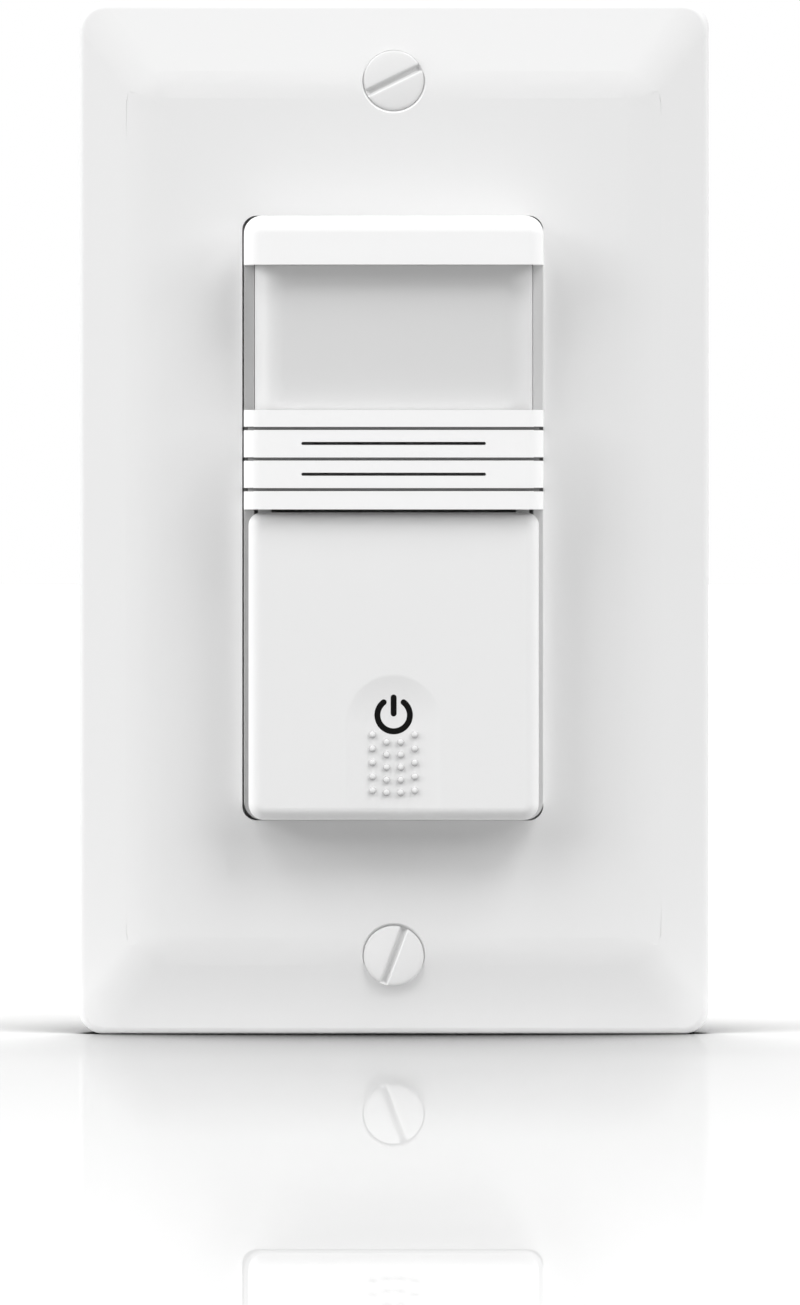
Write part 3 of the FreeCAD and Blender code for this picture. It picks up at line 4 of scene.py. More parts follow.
import bmesh
import bpy
import numpy as np
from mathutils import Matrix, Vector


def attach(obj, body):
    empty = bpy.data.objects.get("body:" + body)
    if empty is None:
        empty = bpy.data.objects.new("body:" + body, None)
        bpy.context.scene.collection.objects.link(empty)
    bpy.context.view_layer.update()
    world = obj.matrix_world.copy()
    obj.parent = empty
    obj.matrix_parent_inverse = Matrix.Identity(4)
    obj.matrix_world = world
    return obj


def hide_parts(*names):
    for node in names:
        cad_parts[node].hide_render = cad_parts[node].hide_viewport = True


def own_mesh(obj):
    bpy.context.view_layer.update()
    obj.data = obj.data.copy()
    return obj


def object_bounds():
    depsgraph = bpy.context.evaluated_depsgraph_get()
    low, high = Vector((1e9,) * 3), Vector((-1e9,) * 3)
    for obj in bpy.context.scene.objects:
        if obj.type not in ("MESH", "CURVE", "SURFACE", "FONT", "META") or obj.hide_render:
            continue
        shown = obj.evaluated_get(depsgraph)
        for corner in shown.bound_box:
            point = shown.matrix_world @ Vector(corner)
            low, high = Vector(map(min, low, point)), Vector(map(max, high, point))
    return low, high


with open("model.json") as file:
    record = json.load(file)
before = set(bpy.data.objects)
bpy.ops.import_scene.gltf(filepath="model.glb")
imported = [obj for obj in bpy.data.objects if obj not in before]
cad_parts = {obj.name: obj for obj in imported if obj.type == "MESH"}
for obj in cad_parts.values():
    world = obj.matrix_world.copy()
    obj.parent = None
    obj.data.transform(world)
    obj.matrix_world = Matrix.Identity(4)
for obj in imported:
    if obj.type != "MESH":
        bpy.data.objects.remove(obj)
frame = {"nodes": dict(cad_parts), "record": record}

# A wall switch with a motion sensor, standing on its wall plate's lower edge in a white studio.
# X runs to the right, Z up and Y away from the viewer. Lengths are in metres unless a name says mm.
MM = 0.001
CAD_BOX = [list(corner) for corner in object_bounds()]
SWITCH, BUTTON = "switch", "button"


# the camera

PHOTO_HEIGHT, PHOTO_MIDDLE = 145.0 * MM, -14.94 * MM
CAMERA_DISTANCE, CAMERA_X, CAMERA_CLIP, SENSOR_MM = 1.2, 0.7 * MM, 0.01, 36.0


def camera():
    """A level camera square to the wall plate, its picture shifted down to take in the floor."""
    data = bpy.data.cameras.new("camera")
    data.sensor_fit = "VERTICAL"
    data.sensor_height = SENSOR_MM
    data.lens = SENSOR_MM * CAMERA_DISTANCE / PHOTO_HEIGHT
    data.shift_y = PHOTO_MIDDLE / PHOTO_HEIGHT
    data.clip_start = CAMERA_CLIP
    eye = bpy.data.objects.new("camera", data)
    eye.location = (CAMERA_X, -CAMERA_DISTANCE, 0.0)
    eye.rotation_euler = (math.pi / 2, 0, 0)
    bpy.context.scene.collection.objects.link(eye)
    bpy.context.scene.camera = eye


camera()


# shader building

def add(tree, kind, **values):
    """A node with its properties and inputs set by name; an underscore stands for a space."""
    node = tree.nodes.new(kind)
    for name, value in values.items():
        if hasattr(node, name):
            setattr(node, name, value)
        else:
            node.inputs[name.replace("_", " ")].default_value = value
    return node


def feed(tree, value, socket):
    """Put a number or a colour in a socket, or link another socket to it."""
    if isinstance(value, bpy.types.NodeSocket):
        tree.links.new(value, socket)
    else:
        socket.default_value = value


def math_node(tree, operation, first, second=None):
    """One sum on values or sockets."""
    node = add(tree, "ShaderNodeMath", operation=operation)
    for index, term in enumerate((first, second)):
        if term is not None:
            feed(tree, term, node.inputs[index])
    return node.outputs[0]


def between(tree, factor, low, high):
    """A value or colour that runs from low to high as the factor runs from 0 to 1.

    The Mix node keeps sockets of its own for each kind, and they are found by their numbers.
    """
    colour = not isinstance(low, (int, float)) and (hasattr(low, "__len__") or low.type == "RGBA")
    node = add(tree, "ShaderNodeMix", data_type="RGBA" if colour else "FLOAT")
    first, second, result = (6, 7, 2) if colour else (2, 3, 0)
    feed(tree, factor, node.inputs[0])
    feed(tree, low, node.inputs[first])
    feed(tree, high, node.inputs[second])
    return node.outputs[result]


def object_place(tree):
    """The place of a shaded point on its piece, which is its place in the frame."""
    return add(tree, "ShaderNodeTexCoord").outputs["Object"]


def noise(tree, scale, detail=2.0, stretch=None):
    """Noise in object coordinates, with its scale per metre and a stretch for each axis."""
    spot = object_place(tree)
    if stretch:
        mapping = add(tree, "ShaderNodeMapping", Scale=stretch)
        feed(tree, spot, mapping.inputs["Vector"])
        spot = mapping.outputs["Vector"]
    node = add(tree, "ShaderNodeTexNoise", Detail=detail)
    feed(tree, spot, node.inputs["Vector"])
    feed(tree, scale, node.inputs["Scale"])
    return node.outputs["Fac"]


def swing(tree, varying, amount):
    """How far a noise is from its middle value, times an amount."""
    return math_node(tree, "MULTIPLY", math_node(tree, "SUBTRACT", varying, NOISE_MIDDLE), amount)


def bump(tree, height, depth):
    """A normal from a height, with the depth of the relief in metres."""
    node = add(tree, "ShaderNodeBump", Strength=1.0)
    feed(tree, height, node.inputs["Height"])
    feed(tree, depth, node.inputs["Distance"])
    return node.outputs["Normal"]


# effects that the finishes share: scales are per metre, depths in metres, and each shine is how
# far the roughness swings

NOISE_MIDDLE = 0.5
GRAIN, GRAIN_DEPTH, GRAIN_DETAIL, GRAIN_SHINE = 6000.0, 0.000004, 3.0, 0.16
FLOW, FLOW_SCALE, FLOW_STRETCH, FLOW_SHINE = 0.02, 45.0, (1.0, 1.0, 0.35), 0.12
LINE_DEPTH, LINE_SCALE, LINE_STRETCH = 0.0000015, 9000.0, (1.0, 1.0, 0.02)
CLOUD_SCALE, CLOUD_DETAIL, CLOUD_SHINE = 220.0, 5.0, 0.35
WEAVE_SCALE, WEAVE_SHINE, WEAVE_RISE, BOARD_RELIEF = 2500.0, 0.2, 0.3, 0.00002
TRACK_PATTERN = {
    "offset": 0.37, "squash": 0.6, "squash_frequency": 3, "Scale": 260.0,
    "Mortar_Size": 0.05, "Mortar_Smooth": 0.1, "Brick_Width": 1.9, "Row_Height": 0.42,
}
EFFECT_OUTPUTS = {
    "Colour": "NodeSocketColor", "Roughness": "NodeSocketFloat", "Normal": "NodeSocketVector",
}
SHADER_INPUTS = {"Colour": "Base Color", "Roughness": "Roughness", "Normal": "Normal"}


def group(name, inputs):
    """An empty effect group with number or colour inputs and the outputs that every effect has."""
    tree = bpy.data.node_groups.new(name, "ShaderNodeTree")
    for label, value in inputs.items():
        kind = "NodeSocketColor" if hasattr(value, "__len__") else "NodeSocketFloat"
        socket = tree.interface.new_socket(label, in_out="INPUT", socket_type=kind)
        socket.default_value = value
    for label, kind in EFFECT_OUTPUTS.items():
        tree.interface.new_socket(label, in_out="OUTPUT", socket_type=kind)
    return tree, tree.nodes.new("NodeGroupInput").outputs, tree.nodes.new("NodeGroupOutput").inputs


def moulded_skin():
    """Plastic from a mould: a fine spark-eroded grain, slow flow marks in tone and shine."""
    tree, given, out = group("moulded_skin", {
        "Colour": (0.85, 0.85, 0.85, 1.0), "Grain": GRAIN, "Depth": GRAIN_DEPTH, "Flow": FLOW,
        "Roughness": 0.5,
    })
    grain = noise(tree, given["Grain"], GRAIN_DETAIL)
    flow = noise(tree, FLOW_SCALE, stretch=FLOW_STRETCH)
    darker = add(tree, "ShaderNodeHueSaturation")
    feed(tree, given["Colour"], darker.inputs["Color"])
    tone = math_node(tree, "SUBTRACT", 1.0, math_node(tree, "MULTIPLY", flow, given["Flow"]))
    feed(tree, tone, darker.inputs["Value"])
    feed(tree, darker.outputs["Color"], out["Colour"])
    shine = math_node(tree, "ADD", swing(tree, grain, GRAIN_SHINE), swing(tree, flow, FLOW_SHINE))
    feed(tree, math_node(tree, "ADD", given["Roughness"], shine), out["Roughness"])
    feed(tree, bump(tree, grain, given["Depth"]), out["Normal"])
    return tree


def worked_metal():
    """Rolled, drawn or plated metal: fine lines along one axis, cloudy plating and dull spots."""
    tree, given, out = group("worked_metal", {
        "Colour": (0.6, 0.6, 0.6, 1.0), "Cloud_Colour": (0.5, 0.5, 0.45, 1.0), "Lines": LINE_DEPTH,
        "Clouds": CLOUD_SCALE, "Roughness": 0.35,
    })
    lines = noise(tree, LINE_SCALE, stretch=LINE_STRETCH)
    clouds = noise(tree, given["Clouds"], CLOUD_DETAIL)
    feed(tree, between(tree, clouds, given["Colour"], given["Cloud_Colour"]), out["Colour"])
    rough = math_node(tree, "ADD", given["Roughness"], swing(tree, clouds, CLOUD_SHINE))
    feed(tree, rough, out["Roughness"])
    feed(tree, bump(tree, lines, given["Lines"]), out["Normal"])
    return tree


def board_mask():
    """Solder mask over copper tracks: straight runs at right angles, and a matt weave beneath."""
    tree, given, out = group("board_mask", {
        "Colour": (0.01, 0.11, 0.045, 1.0), "Track_Colour": (0.03, 0.22, 0.09, 1.0),
        "Roughness": 0.35,
    })
    flat = add(tree, "ShaderNodeMapping", Rotation=(math.pi / 2, 0.0, 0.0))
    feed(tree, object_place(tree), flat.inputs["Vector"])
    runs = add(tree, "ShaderNodeTexBrick", **TRACK_PATTERN)
    feed(tree, flat.outputs["Vector"], runs.inputs["Vector"])
    track = runs.outputs["Fac"]
    feed(tree, between(tree, track, given["Colour"], given["Track_Colour"]), out["Colour"])
    weave = noise(tree, WEAVE_SCALE)
    rough = math_node(tree, "ADD", given["Roughness"], swing(tree, weave, WEAVE_SHINE))
    feed(tree, rough, out["Roughness"])
    relief = math_node(tree, "ADD", track, math_node(tree, "MULTIPLY", weave, WEAVE_RISE))
    feed(tree, bump(tree, relief, BOARD_RELIEF), out["Normal"])
    return tree


SKIN, METAL, MASK = moulded_skin(), worked_metal(), board_mask()


def finish(name, effect, values, **shader):
    """A material: one effect group with its own values, and constant numbers on the shader."""
    material = bpy.data.materials.new(name)
    material.use_nodes = True
    tree = material.node_tree
    surface = tree.nodes["Principled BSDF"]
    look = add(tree, "ShaderNodeGroup", node_tree=effect)
    for label, value in values.items():
        look.inputs[label].default_value = value
    for label, socket in SHADER_INPUTS.items():
        feed(tree, look.outputs[label], surface.inputs[socket])
    for label, value in shader.items():
        surface.inputs[label.replace("_", " ")].default_value = value
    return material


def plastic(name, colour, roughness, grain=GRAIN, depth=GRAIN_DEPTH, flow=FLOW, **shader):
    """Moulded or painted: its colour, roughness, grain, grain's depth and strength of flow marks."""
    values = {
        "Colour": (*colour, 1.0), "Grain": grain, "Depth": depth, "Flow": flow,
        "Roughness": roughness,
    }
    return finish(name, SKIN, values, **shader)


def metal(name, colour, clouds, roughness):
    """Bare or plated metal: its colour, the colour of its cloudy places, and its roughness."""
    values = {"Colour": (*colour, 1.0), "Cloud_Colour": (*clouds, 1.0), "Roughness": roughness}
    return finish(name, METAL, values, Metallic=1.0)


BUTTON_LOOK = ((0.82, 0.82, 0.82), 0.5, 5200.0, 0.000003, 0.02)
FINISHES = {
    "plate_plastic": plastic("satin_plate", (0.79, 0.79, 0.79), 0.42, 4200.0, 0.0000016, 0.012),
    "screw_paint": plastic(
        "enamelled_screw", (0.79, 0.79, 0.79), 0.34, 1500.0, 0.000006, 0.03, Coat_Weight=0.3,
    ),
    "frame_plastic": plastic("grained_frame", (0.91, 0.91, 0.91), 0.5, 5200.0, 0.000003, 0.015),
    "lens_plastic": plastic("milky_lens", (0.66, 0.66, 0.66), 0.46, 3000.0, 0.000001, 0.03),
    "button_plastic": plastic("grained_button", *BUTTON_LOOK),
    "inner_plastic": plastic("black_nylon", (0.012, 0.012, 0.013), 0.65, Specular_IOR_Level=0.25),
    "housing_plastic": plastic("filled_nylon", (0.76, 0.76, 0.745), 0.58, 2600.0, 0.000007, 0.07),
    "fibre": plastic("pressed_fibre", (0.13, 0.05, 0.025), 0.75, 1400.0, 0.00002, 0.5),
    "dial_plastic": plastic("natural_nylon", (0.78, 0.76, 0.7), 0.45),
    "lamp_plastic": plastic("red_lamp", (0.7, 0.05, 0.03), 0.2),
    "cell_plastic": plastic("smoked_resin", (0.05, 0.045, 0.06), 0.15),
    "filter_glass": plastic("dark_filter", (0.03, 0.03, 0.035), 0.1),
    "relay_plastic": plastic("black_case", (0.03, 0.03, 0.032), 0.45),
    "can_sleeve": plastic("shrink_sleeve", (0.02, 0.025, 0.06), 0.3),
    "film_resin": plastic("yellow_resin", (0.7, 0.42, 0.04), 0.3),
    "disc_resin": plastic("dipped_blue", (0.03, 0.08, 0.3), 0.35, 900.0, 0.00003, 0.2),
    "resistor_coat": plastic("flameproof_coat", (0.16, 0.3, 0.2), 0.6, 2200.0, 0.00002, 0.2),
    "ferrite": plastic("ferrite", (0.04, 0.04, 0.042), 0.65, 3000.0, 0.00001, 0.3),
    "zinc_steel": metal("zinc_plate", (0.66, 0.67, 0.68), (0.52, 0.53, 0.5), 0.36),
    "spring_steel": metal("drawn_wire", (0.55, 0.55, 0.55), (0.45, 0.44, 0.42), 0.3),
    "can_metal": metal("nickel_can", (0.7, 0.68, 0.63), (0.6, 0.57, 0.5), 0.28),
    "brass": metal("stamped_brass", (0.78, 0.58, 0.26), (0.66, 0.44, 0.18), 0.3),
    "green_paint": plastic(
        "green_screw", (0.03, 0.22, 0.08), 0.35, 1500.0, 0.000008, 0.1, Coat_Weight=0.4,
    ),
    "board": finish("green_board", MASK, {}),
}


# painted shade in the recesses and hollows

GROOVE_FIRST, GROOVE_PITCH, GROOVE_REACH = 3.13 * MM, 3.365 * MM, 0.21 * MM
BAND_FACE, BAND_REACH = 11.95 * MM, 1.3 * GROOVE_PITCH
RAIL_FACE, RAIL_EDGE = 8.3 * MM, 16.46 * MM
# strengths of the painted shade in the grooves, on the rails and its slant across them, round the
# dots and on the plate screws, and the grey it paints
GROOVE_SHADE, RAIL_SHADE, RAIL_SLANT, DOT_SHADE, HEAD_SHADE = 0.85, 0.45, 8.0, 0.55, 0.4
PAINTED_SHADE_TONE = (0.16, 0.16, 0.16, 1.0)


def dusted(material, dust):
    """Mix painted grey shade into a material's own colour by a mask."""
    tree = material.node_tree
    paint = tree.nodes["Principled BSDF"].inputs["Base Color"]
    feed(tree, between(tree, dust, paint.links[0].from_socket, PAINTED_SHADE_TONE), paint)


def dust_recesses(material):
    """Painted grey shade on the floors of the band's three grooves and on the rails beside
    lens and button.

    A point lies in a groove where its height is within the groove's reach of a whole number of
    pitches and it lies deeper than the band's face. It lies on a rail where it is deeper than the
    rail's face and within the rails' outer edges. The painted shade on the rails thins evenly from
    left to right.
    """
    tree = material.node_tree
    place = add(tree, "ShaderNodeSeparateXYZ")
    feed(tree, object_place(tree), place.inputs[0])
    sideways, inward, up = place.outputs
    above_first = math_node(tree, "SUBTRACT", up, GROOVE_FIRST)
    off_groove = math_node(tree, "PINGPONG", above_first, GROOVE_PITCH / 2)
    in_groove = math_node(tree, "LESS_THAN", off_groove, GROOVE_REACH)
    off_middle = math_node(tree, "ABSOLUTE", math_node(tree, "SUBTRACT", above_first, GROOVE_PITCH))
    in_band = math_node(tree, "LESS_THAN", off_middle, BAND_REACH)
    below_face = math_node(tree, "GREATER_THAN", inward, -BAND_FACE)
    groove_in_band = math_node(tree, "MULTIPLY", in_groove, in_band)
    groove = math_node(tree, "MULTIPLY", groove_in_band, below_face)
    below_rail = math_node(tree, "GREATER_THAN", inward, -RAIL_FACE)
    off_centre = math_node(tree, "ABSOLUTE", sideways)
    between_sides = math_node(tree, "LESS_THAN", off_centre, RAIL_EDGE)
    rail = math_node(tree, "MULTIPLY", below_rail, between_sides)
    slant = math_node(tree, "MULTIPLY", sideways, RAIL_SLANT)
    rail_shade_level = math_node(tree, "SUBTRACT", RAIL_SHADE, slant)
    groove_shading = math_node(tree, "MULTIPLY", groove, GROOVE_SHADE)
    rail_shading = math_node(tree, "MULTIPLY", rail, rail_shade_level)
    dusted(material, math_node(tree, "MAXIMUM", groove_shading, rail_shading))


def dust_marked(material, label, amount):
    """Painted grey shade where a piece's own number for each point is high."""
    tree = material.node_tree
    mark = add(tree, "ShaderNodeAttribute", attribute_name=label).outputs["Fac"]
    dusted(material, math_node(tree, "MULTIPLY", mark, amount))


# paint shade into the frame's grooves and rails, and into the plate screws' rims and slots
dust_recesses(FINISHES["frame_plastic"])
dust_marked(FINISHES["screw_paint"], "dust", HEAD_SHADE)


def dress():
    """Give every piece of the frame the finish of its slot in the record."""
    slots = {part["node"]: part["material_slot"] for part in frame["record"]["subparts"]}
    for name, piece in frame["nodes"].items():
        for slot in piece.material_slots:
            slot.link = "DATA"
            slot.material = FINISHES[slots[name]]


dress()


# mesh building

WELD = 0.0001 * MM


def welded(mesh):
    """Join the points that lie on one another at poles and seams, and drop faces of no size."""
    shape = bmesh.new()
    shape.from_mesh(mesh)
    bmesh.ops.remove_doubles(shape, verts=shape.verts, dist=WELD)
    bmesh.ops.dissolve_degenerate(shape, dist=WELD, edges=shape.edges)
    shape.to_mesh(mesh)
    shape.free()
    mesh.update()


def add_piece(name, points, faces, body, slot, material, **measures):
    """A new mesh piece from points and faces that rides on a body, with numbers for its points."""
    mesh = bpy.data.meshes.new(name)
    mesh.from_pydata(points.reshape(-1, 3).tolist(), [], faces)
    for label, values in measures.items():
        mesh.attributes.new(label, "FLOAT", "POINT").data.foreach_set("value", values)
    welded(mesh)
    mesh.polygons.foreach_set("use_smooth", [True] * len(mesh.polygons))
    mesh.materials.append(material)
    piece = bpy.data.objects.new(name, mesh)
    bpy.context.scene.collection.objects.link(piece)
    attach(piece, body)
    return piece


def rolled_faces(rows, columns):
    """Four-sided faces of a grid of points, row by row, its last column joined to its first."""
    row, column = np.meshgrid(np.arange(rows - 1), np.arange(columns), indexing="ij")
    this_row, next_row = row * columns, (row + 1) * columns
    following = (column + 1) % columns
    corners = (this_row + column, this_row + following, next_row + following, next_row + column)
    return np.stack(corners, axis=-1).reshape(-1, 4).tolist()


def turned_over(faces):
    """The same faces seen from their other side."""
    return [face[::-1] for face in faces]


def joined(shells):
    """Several shells as one list of points and one list of faces."""
    points, faces, count = [], [], 0
    for shell_points, shell_faces in shells:
        points.append(shell_points)
        faces += [[corner + count for corner in face] for face in shell_faces]
        count += len(shell_points)
    return np.vstack(points), faces


# the on and off mark and the dots in the button's scoop

SCOOP_HALF_WIDTH, SCOOP_DEPTH, SCOOP_MIDDLE = 5.16 * MM, 0.4 * MM, -22.46 * MM
BUTTON_FRONT = 10.9 * MM
MARK_RADIUS, MARK_HEIGHT, MARK_GAP = 1.79 * MM, -21.7 * MM, math.radians(38)
BAR_TOP, BAR_FOOT = 1.08 * MARK_RADIUS, 0.1 * MARK_RADIUS
RING_POINTS, BAR_POINTS = 61, 13
STROKE, STROKE_CAP_ROWS, STROKE_SIDES, STROKE_SOFTNESS = 0.66 * MM, 9, 16, 0.5
MARK_PROUD, MARK_SUNK = 0.03 * MM, 0.1 * MM


def scoop_height(x, z):
    """Height above the wall of the scoop: a ball's inside, drawn straight down below its middle."""
    ball = (SCOOP_HALF_WIDTH ** 2 + SCOOP_DEPTH ** 2) / (2 * SCOOP_DEPTH)
    middle = BUTTON_FRONT + ball - SCOOP_DEPTH
    outward = x ** 2 + np.maximum(z - SCOOP_MIDDLE, 0.0) ** 2
    return middle - np.sqrt(ball ** 2 - outward)


def stroke(path):
    """Points and faces of a flat round-ended stroke that lies on the scoop.

    Across the path the outline is a superellipse, so that its edges are soft. At each end the width
    follows a half circle: half the width times the root of 1 - s squared, with s the distance into
    the cap over half the width.
    """
    half = STROKE / 2
    along = np.linspace(0.0, 1.0, STROKE_CAP_ROWS)
    first, last = path[0] - path[1], path[-1] - path[-2]
    first, last = first / np.linalg.norm(first), last / np.linalg.norm(last)
    into_cap = np.cos(along[:-1] * math.pi / 2)
    head = path[0] + first * half * into_cap[:, None]
    tail = path[-1] + last * half * into_cap[::-1, None]
    line = np.vstack((head, path, tail))
    inset = np.sqrt(np.maximum(1.0 - into_cap ** 2, 0.0))
    share = np.concatenate((inset, np.ones(len(path)), inset[::-1])) * half
    way = np.gradient(line, axis=0)
    way /= np.linalg.norm(way, axis=1)[:, None]
    side = np.stack((-way[:, 1], way[:, 0]), axis=1)
    turn = np.linspace(0.0, 2 * math.pi, STROKE_SIDES, endpoint=False)
    across = np.sign(np.cos(turn)) * np.abs(np.cos(turn)) ** STROKE_SOFTNESS
    lift = np.sign(np.sin(turn)) * np.abs(np.sin(turn)) ** STROKE_SOFTNESS
    flat = line[:, None, :] + side[:, None, :] * (share[:, None] * across)[..., None]
    height = scoop_height(flat[..., 0], flat[..., 1])
    height = height + np.where(lift > 0, lift * MARK_PROUD, lift * MARK_SUNK)
    points = np.stack((flat[..., 0], -height, flat[..., 1]), axis=-1)
    return points.reshape(-1, 3), rolled_faces(len(line), len(turn))


def on_off_mark():
    """A ring that is open at the top with a bar through the gap, as on any switch."""
    turn = np.linspace(MARK_GAP, 2 * math.pi - MARK_GAP, RING_POINTS)
    ring_x, ring_z = MARK_RADIUS * np.sin(turn), MARK_HEIGHT + MARK_RADIUS * np.cos(turn)
    bar_z = np.linspace(BAR_TOP, BAR_FOOT, BAR_POINTS) + MARK_HEIGHT
    ring = np.stack((ring_x, ring_z), axis=1)
    bar = np.stack((np.zeros_like(bar_z), bar_z), axis=1)
    points, faces = joined((stroke(ring), stroke(bar)))
    ink = plastic(
        "printed_black", (0.004, 0.004, 0.004), 0.8, 9000.0, 0.000002, 0.1, Specular_IOR_Level=0.08,
    )
    add_piece("on_off_mark", points, faces, BUTTON, "inner_plastic", ink)


on_off_mark()


DOT_RADIUS, DOT_RISE, DOT_SUNK = 0.41 * MM, 0.37 * MM, 0.1 * MM
DOT_ROWS, DOT_RINGS, DOT_SIDES = 5, 12, 20
# each column's x, the z of its top dot and the pitch of its dots
DOT_COLUMNS = [
    (-2.32 * MM, -23.85 * MM, 1.54 * MM),
    (-0.78 * MM, -24.67 * MM, 1.39 * MM),
    (0.78 * MM, -24.67 * MM, 1.39 * MM),
    (2.32 * MM, -23.85 * MM, 1.54 * MM),
]


def thumb_dots():
    """Twenty raised dots below the mark, each a flat topped knob that stands on the scoop.

    A point's rise is the dot's height times one less the fourth power of its share of the radius,
    so the top is nearly flat and the flank is steep. A flat disc closes each dot below the scoop.
    Painted grey shade round a dot's foot follows the square of the same share, kept as the
    attribute "foot".
    """
    share = np.sin(np.linspace(0.0, math.pi / 2, DOT_RINGS))
    turn = np.linspace(0.0, 2 * math.pi, DOT_SIDES, endpoint=False)
    reach = DOT_RADIUS * np.concatenate((share, (1.0, 0.0)))
    rise = np.concatenate((DOT_RISE * (1 - share ** 4), (-DOT_SUNK, -DOT_SUNK)))
    faces = turned_over(rolled_faces(len(reach), len(turn)))
    shells = []
    for x, first, pitch in DOT_COLUMNS:
        for z in first - pitch * np.arange(DOT_ROWS):
            height = scoop_height(x, z) + np.repeat(rise[:, None], len(turn), axis=1)
            across = x + reach[:, None] * np.cos(turn)
            up = z + reach[:, None] * np.sin(turn)
            shells.append((np.stack((across, -height, up), axis=-1).reshape(-1, 3), faces))
    points, faces = joined(shells)
    dotted = plastic("dotted_button", *BUTTON_LOOK)
    # painted shade round each dot's foot
    dust_marked(dotted, "foot", DOT_SHADE)
    foot = np.tile(np.repeat(np.concatenate((share ** 2, (1.0, 1.0))), len(turn)), len(shells))
    add_piece("thumb_dots", points, faces, BUTTON, "button_plastic", dotted, foot=foot)


thumb_dots()


# the spring behind the button

SPRING_RADIUS, SPRING_WIRE, SPRING_TURNS = 2.2 * MM, 0.2 * MM, 4.5
SPRING_FOOT, SPRING_HEAD, SPRING_PLACE, SPRING_PRESSED = 4.3 * MM, 9.35 * MM, -17.2 * MM, 0.9
SPRING_ROWS, SPRING_SIDES = 120, 12


def return_spring():
    """A coil of round wire between the deck and the button.

    The wire's middle runs along a helix: its x and z are the radius times the cosine and sine of an
    angle, and its height grows in step with the angle. Round that line the surface is a circle in
    the plane of the outward way and the cross product of the helix's own way with it.
    """
    share = np.linspace(0.0, 1.0, SPRING_ROWS)
    angle = 2 * math.pi * SPRING_TURNS * share
    tall = SPRING_HEAD - SPRING_FOOT - 2 * SPRING_WIRE
    out = np.stack((np.cos(angle), np.zeros_like(angle), np.sin(angle)), axis=1)
    inward = -SPRING_FOOT - SPRING_WIRE - tall * share
    axis = np.stack((np.zeros_like(share), inward, np.full_like(share, SPRING_PLACE)), axis=1)
    line = SPRING_RADIUS * out + axis
    way = np.gradient(line, share, axis=0)
    way /= np.linalg.norm(way, axis=1)[:, None]
    aslant = np.cross(way, out)
    rows = np.concatenate(([0], np.arange(SPRING_ROWS), [SPRING_ROWS - 1]))
    wire = np.full(len(rows), SPRING_WIRE)
    wire[[0, -1]] = 0.0
    turn = np.linspace(0.0, 2 * math.pi, SPRING_SIDES, endpoint=False)[None, :, None]
    circle = out[rows, None, :] * np.cos(turn) + aslant[rows, None, :] * np.sin(turn)
    points = line[rows, None, :] + wire[:, None, None] * circle
    faces = rolled_faces(len(rows), SPRING_SIDES)
    steel = FINISHES["spring_steel"]
    piece = add_piece("coiled_button_spring", points, faces, SWITCH, "spring_steel", steel)
    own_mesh(piece)
    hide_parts("button_spring")


return_spring()


# screws with real slots and threads

SCREW_RADIUS, THREAD_PITCH, THREAD_DEPTH = 1.75 * MM, 0.794 * MM, 0.42 * MM
THREAD_STEEPNESS, THREAD_FLAT = 1.25, 0.125
THREAD_SIDES, THREAD_ROWS = 28, 10
BESIDE_ROWS, WALL_ROWS, FLOOR_ROWS, ACROSS_POINTS = 22, 9, 4, 41
THINNEST_SHARE = 0.02
PAINTED_SLOT_WIDTH, PAINTED_SLOT_DEPTH, PAINTED_SLOT_EDGE = 0.66 * MM, 0.4 * MM, 0.2 * MM
# painted shade in the gap round each plate screw's rim and in its slot; the rim's power also shapes
# the head
RIM_SHADE, RIM_POWER, SLOT_SHADE = 0.65, 24, 0.5
OVAL_RADIUS, OVAL_CROWN, OVAL_RIM, OVAL_CONE = 3.36 * MM, 0.25 * MM, 0.12 * MM, 1.9 * MM
OVAL_FRONT, OVAL_SHANK_START, PLATE_SCREW_END = 5.5 * MM, 0.8 * OVAL_CONE, 1.8 * MM
# each plate screw's height on the plate and the turn of its slot in degrees
PLATE_SCREWS = {"plate_screw_top": (48.42 * MM, 64.0), "plate_screw_bottom": (-48.42 * MM, 20.5)}
YOKE_FRONT = 1.5 * MM
BOX_SLOT_WIDTH, BOX_SLOT_DEPTH, BOX_SLOT_EDGE = 0.85 * MM, 1.2 * MM, 0.02 * MM
BOX_HEAD_RADIUS, BOX_HEAD_HEIGHT = 3.5 * MM, 1.8 * MM
BOX_SCREW_PLACE, BOX_SCREW_END = 41.67 * MM, 29.5 * MM
BOX_NECK_RADIUS, BOX_NECK_END, BOX_NECK_SLOPE = 1.35 * MM, 0.5 * MM, 0.4 * MM


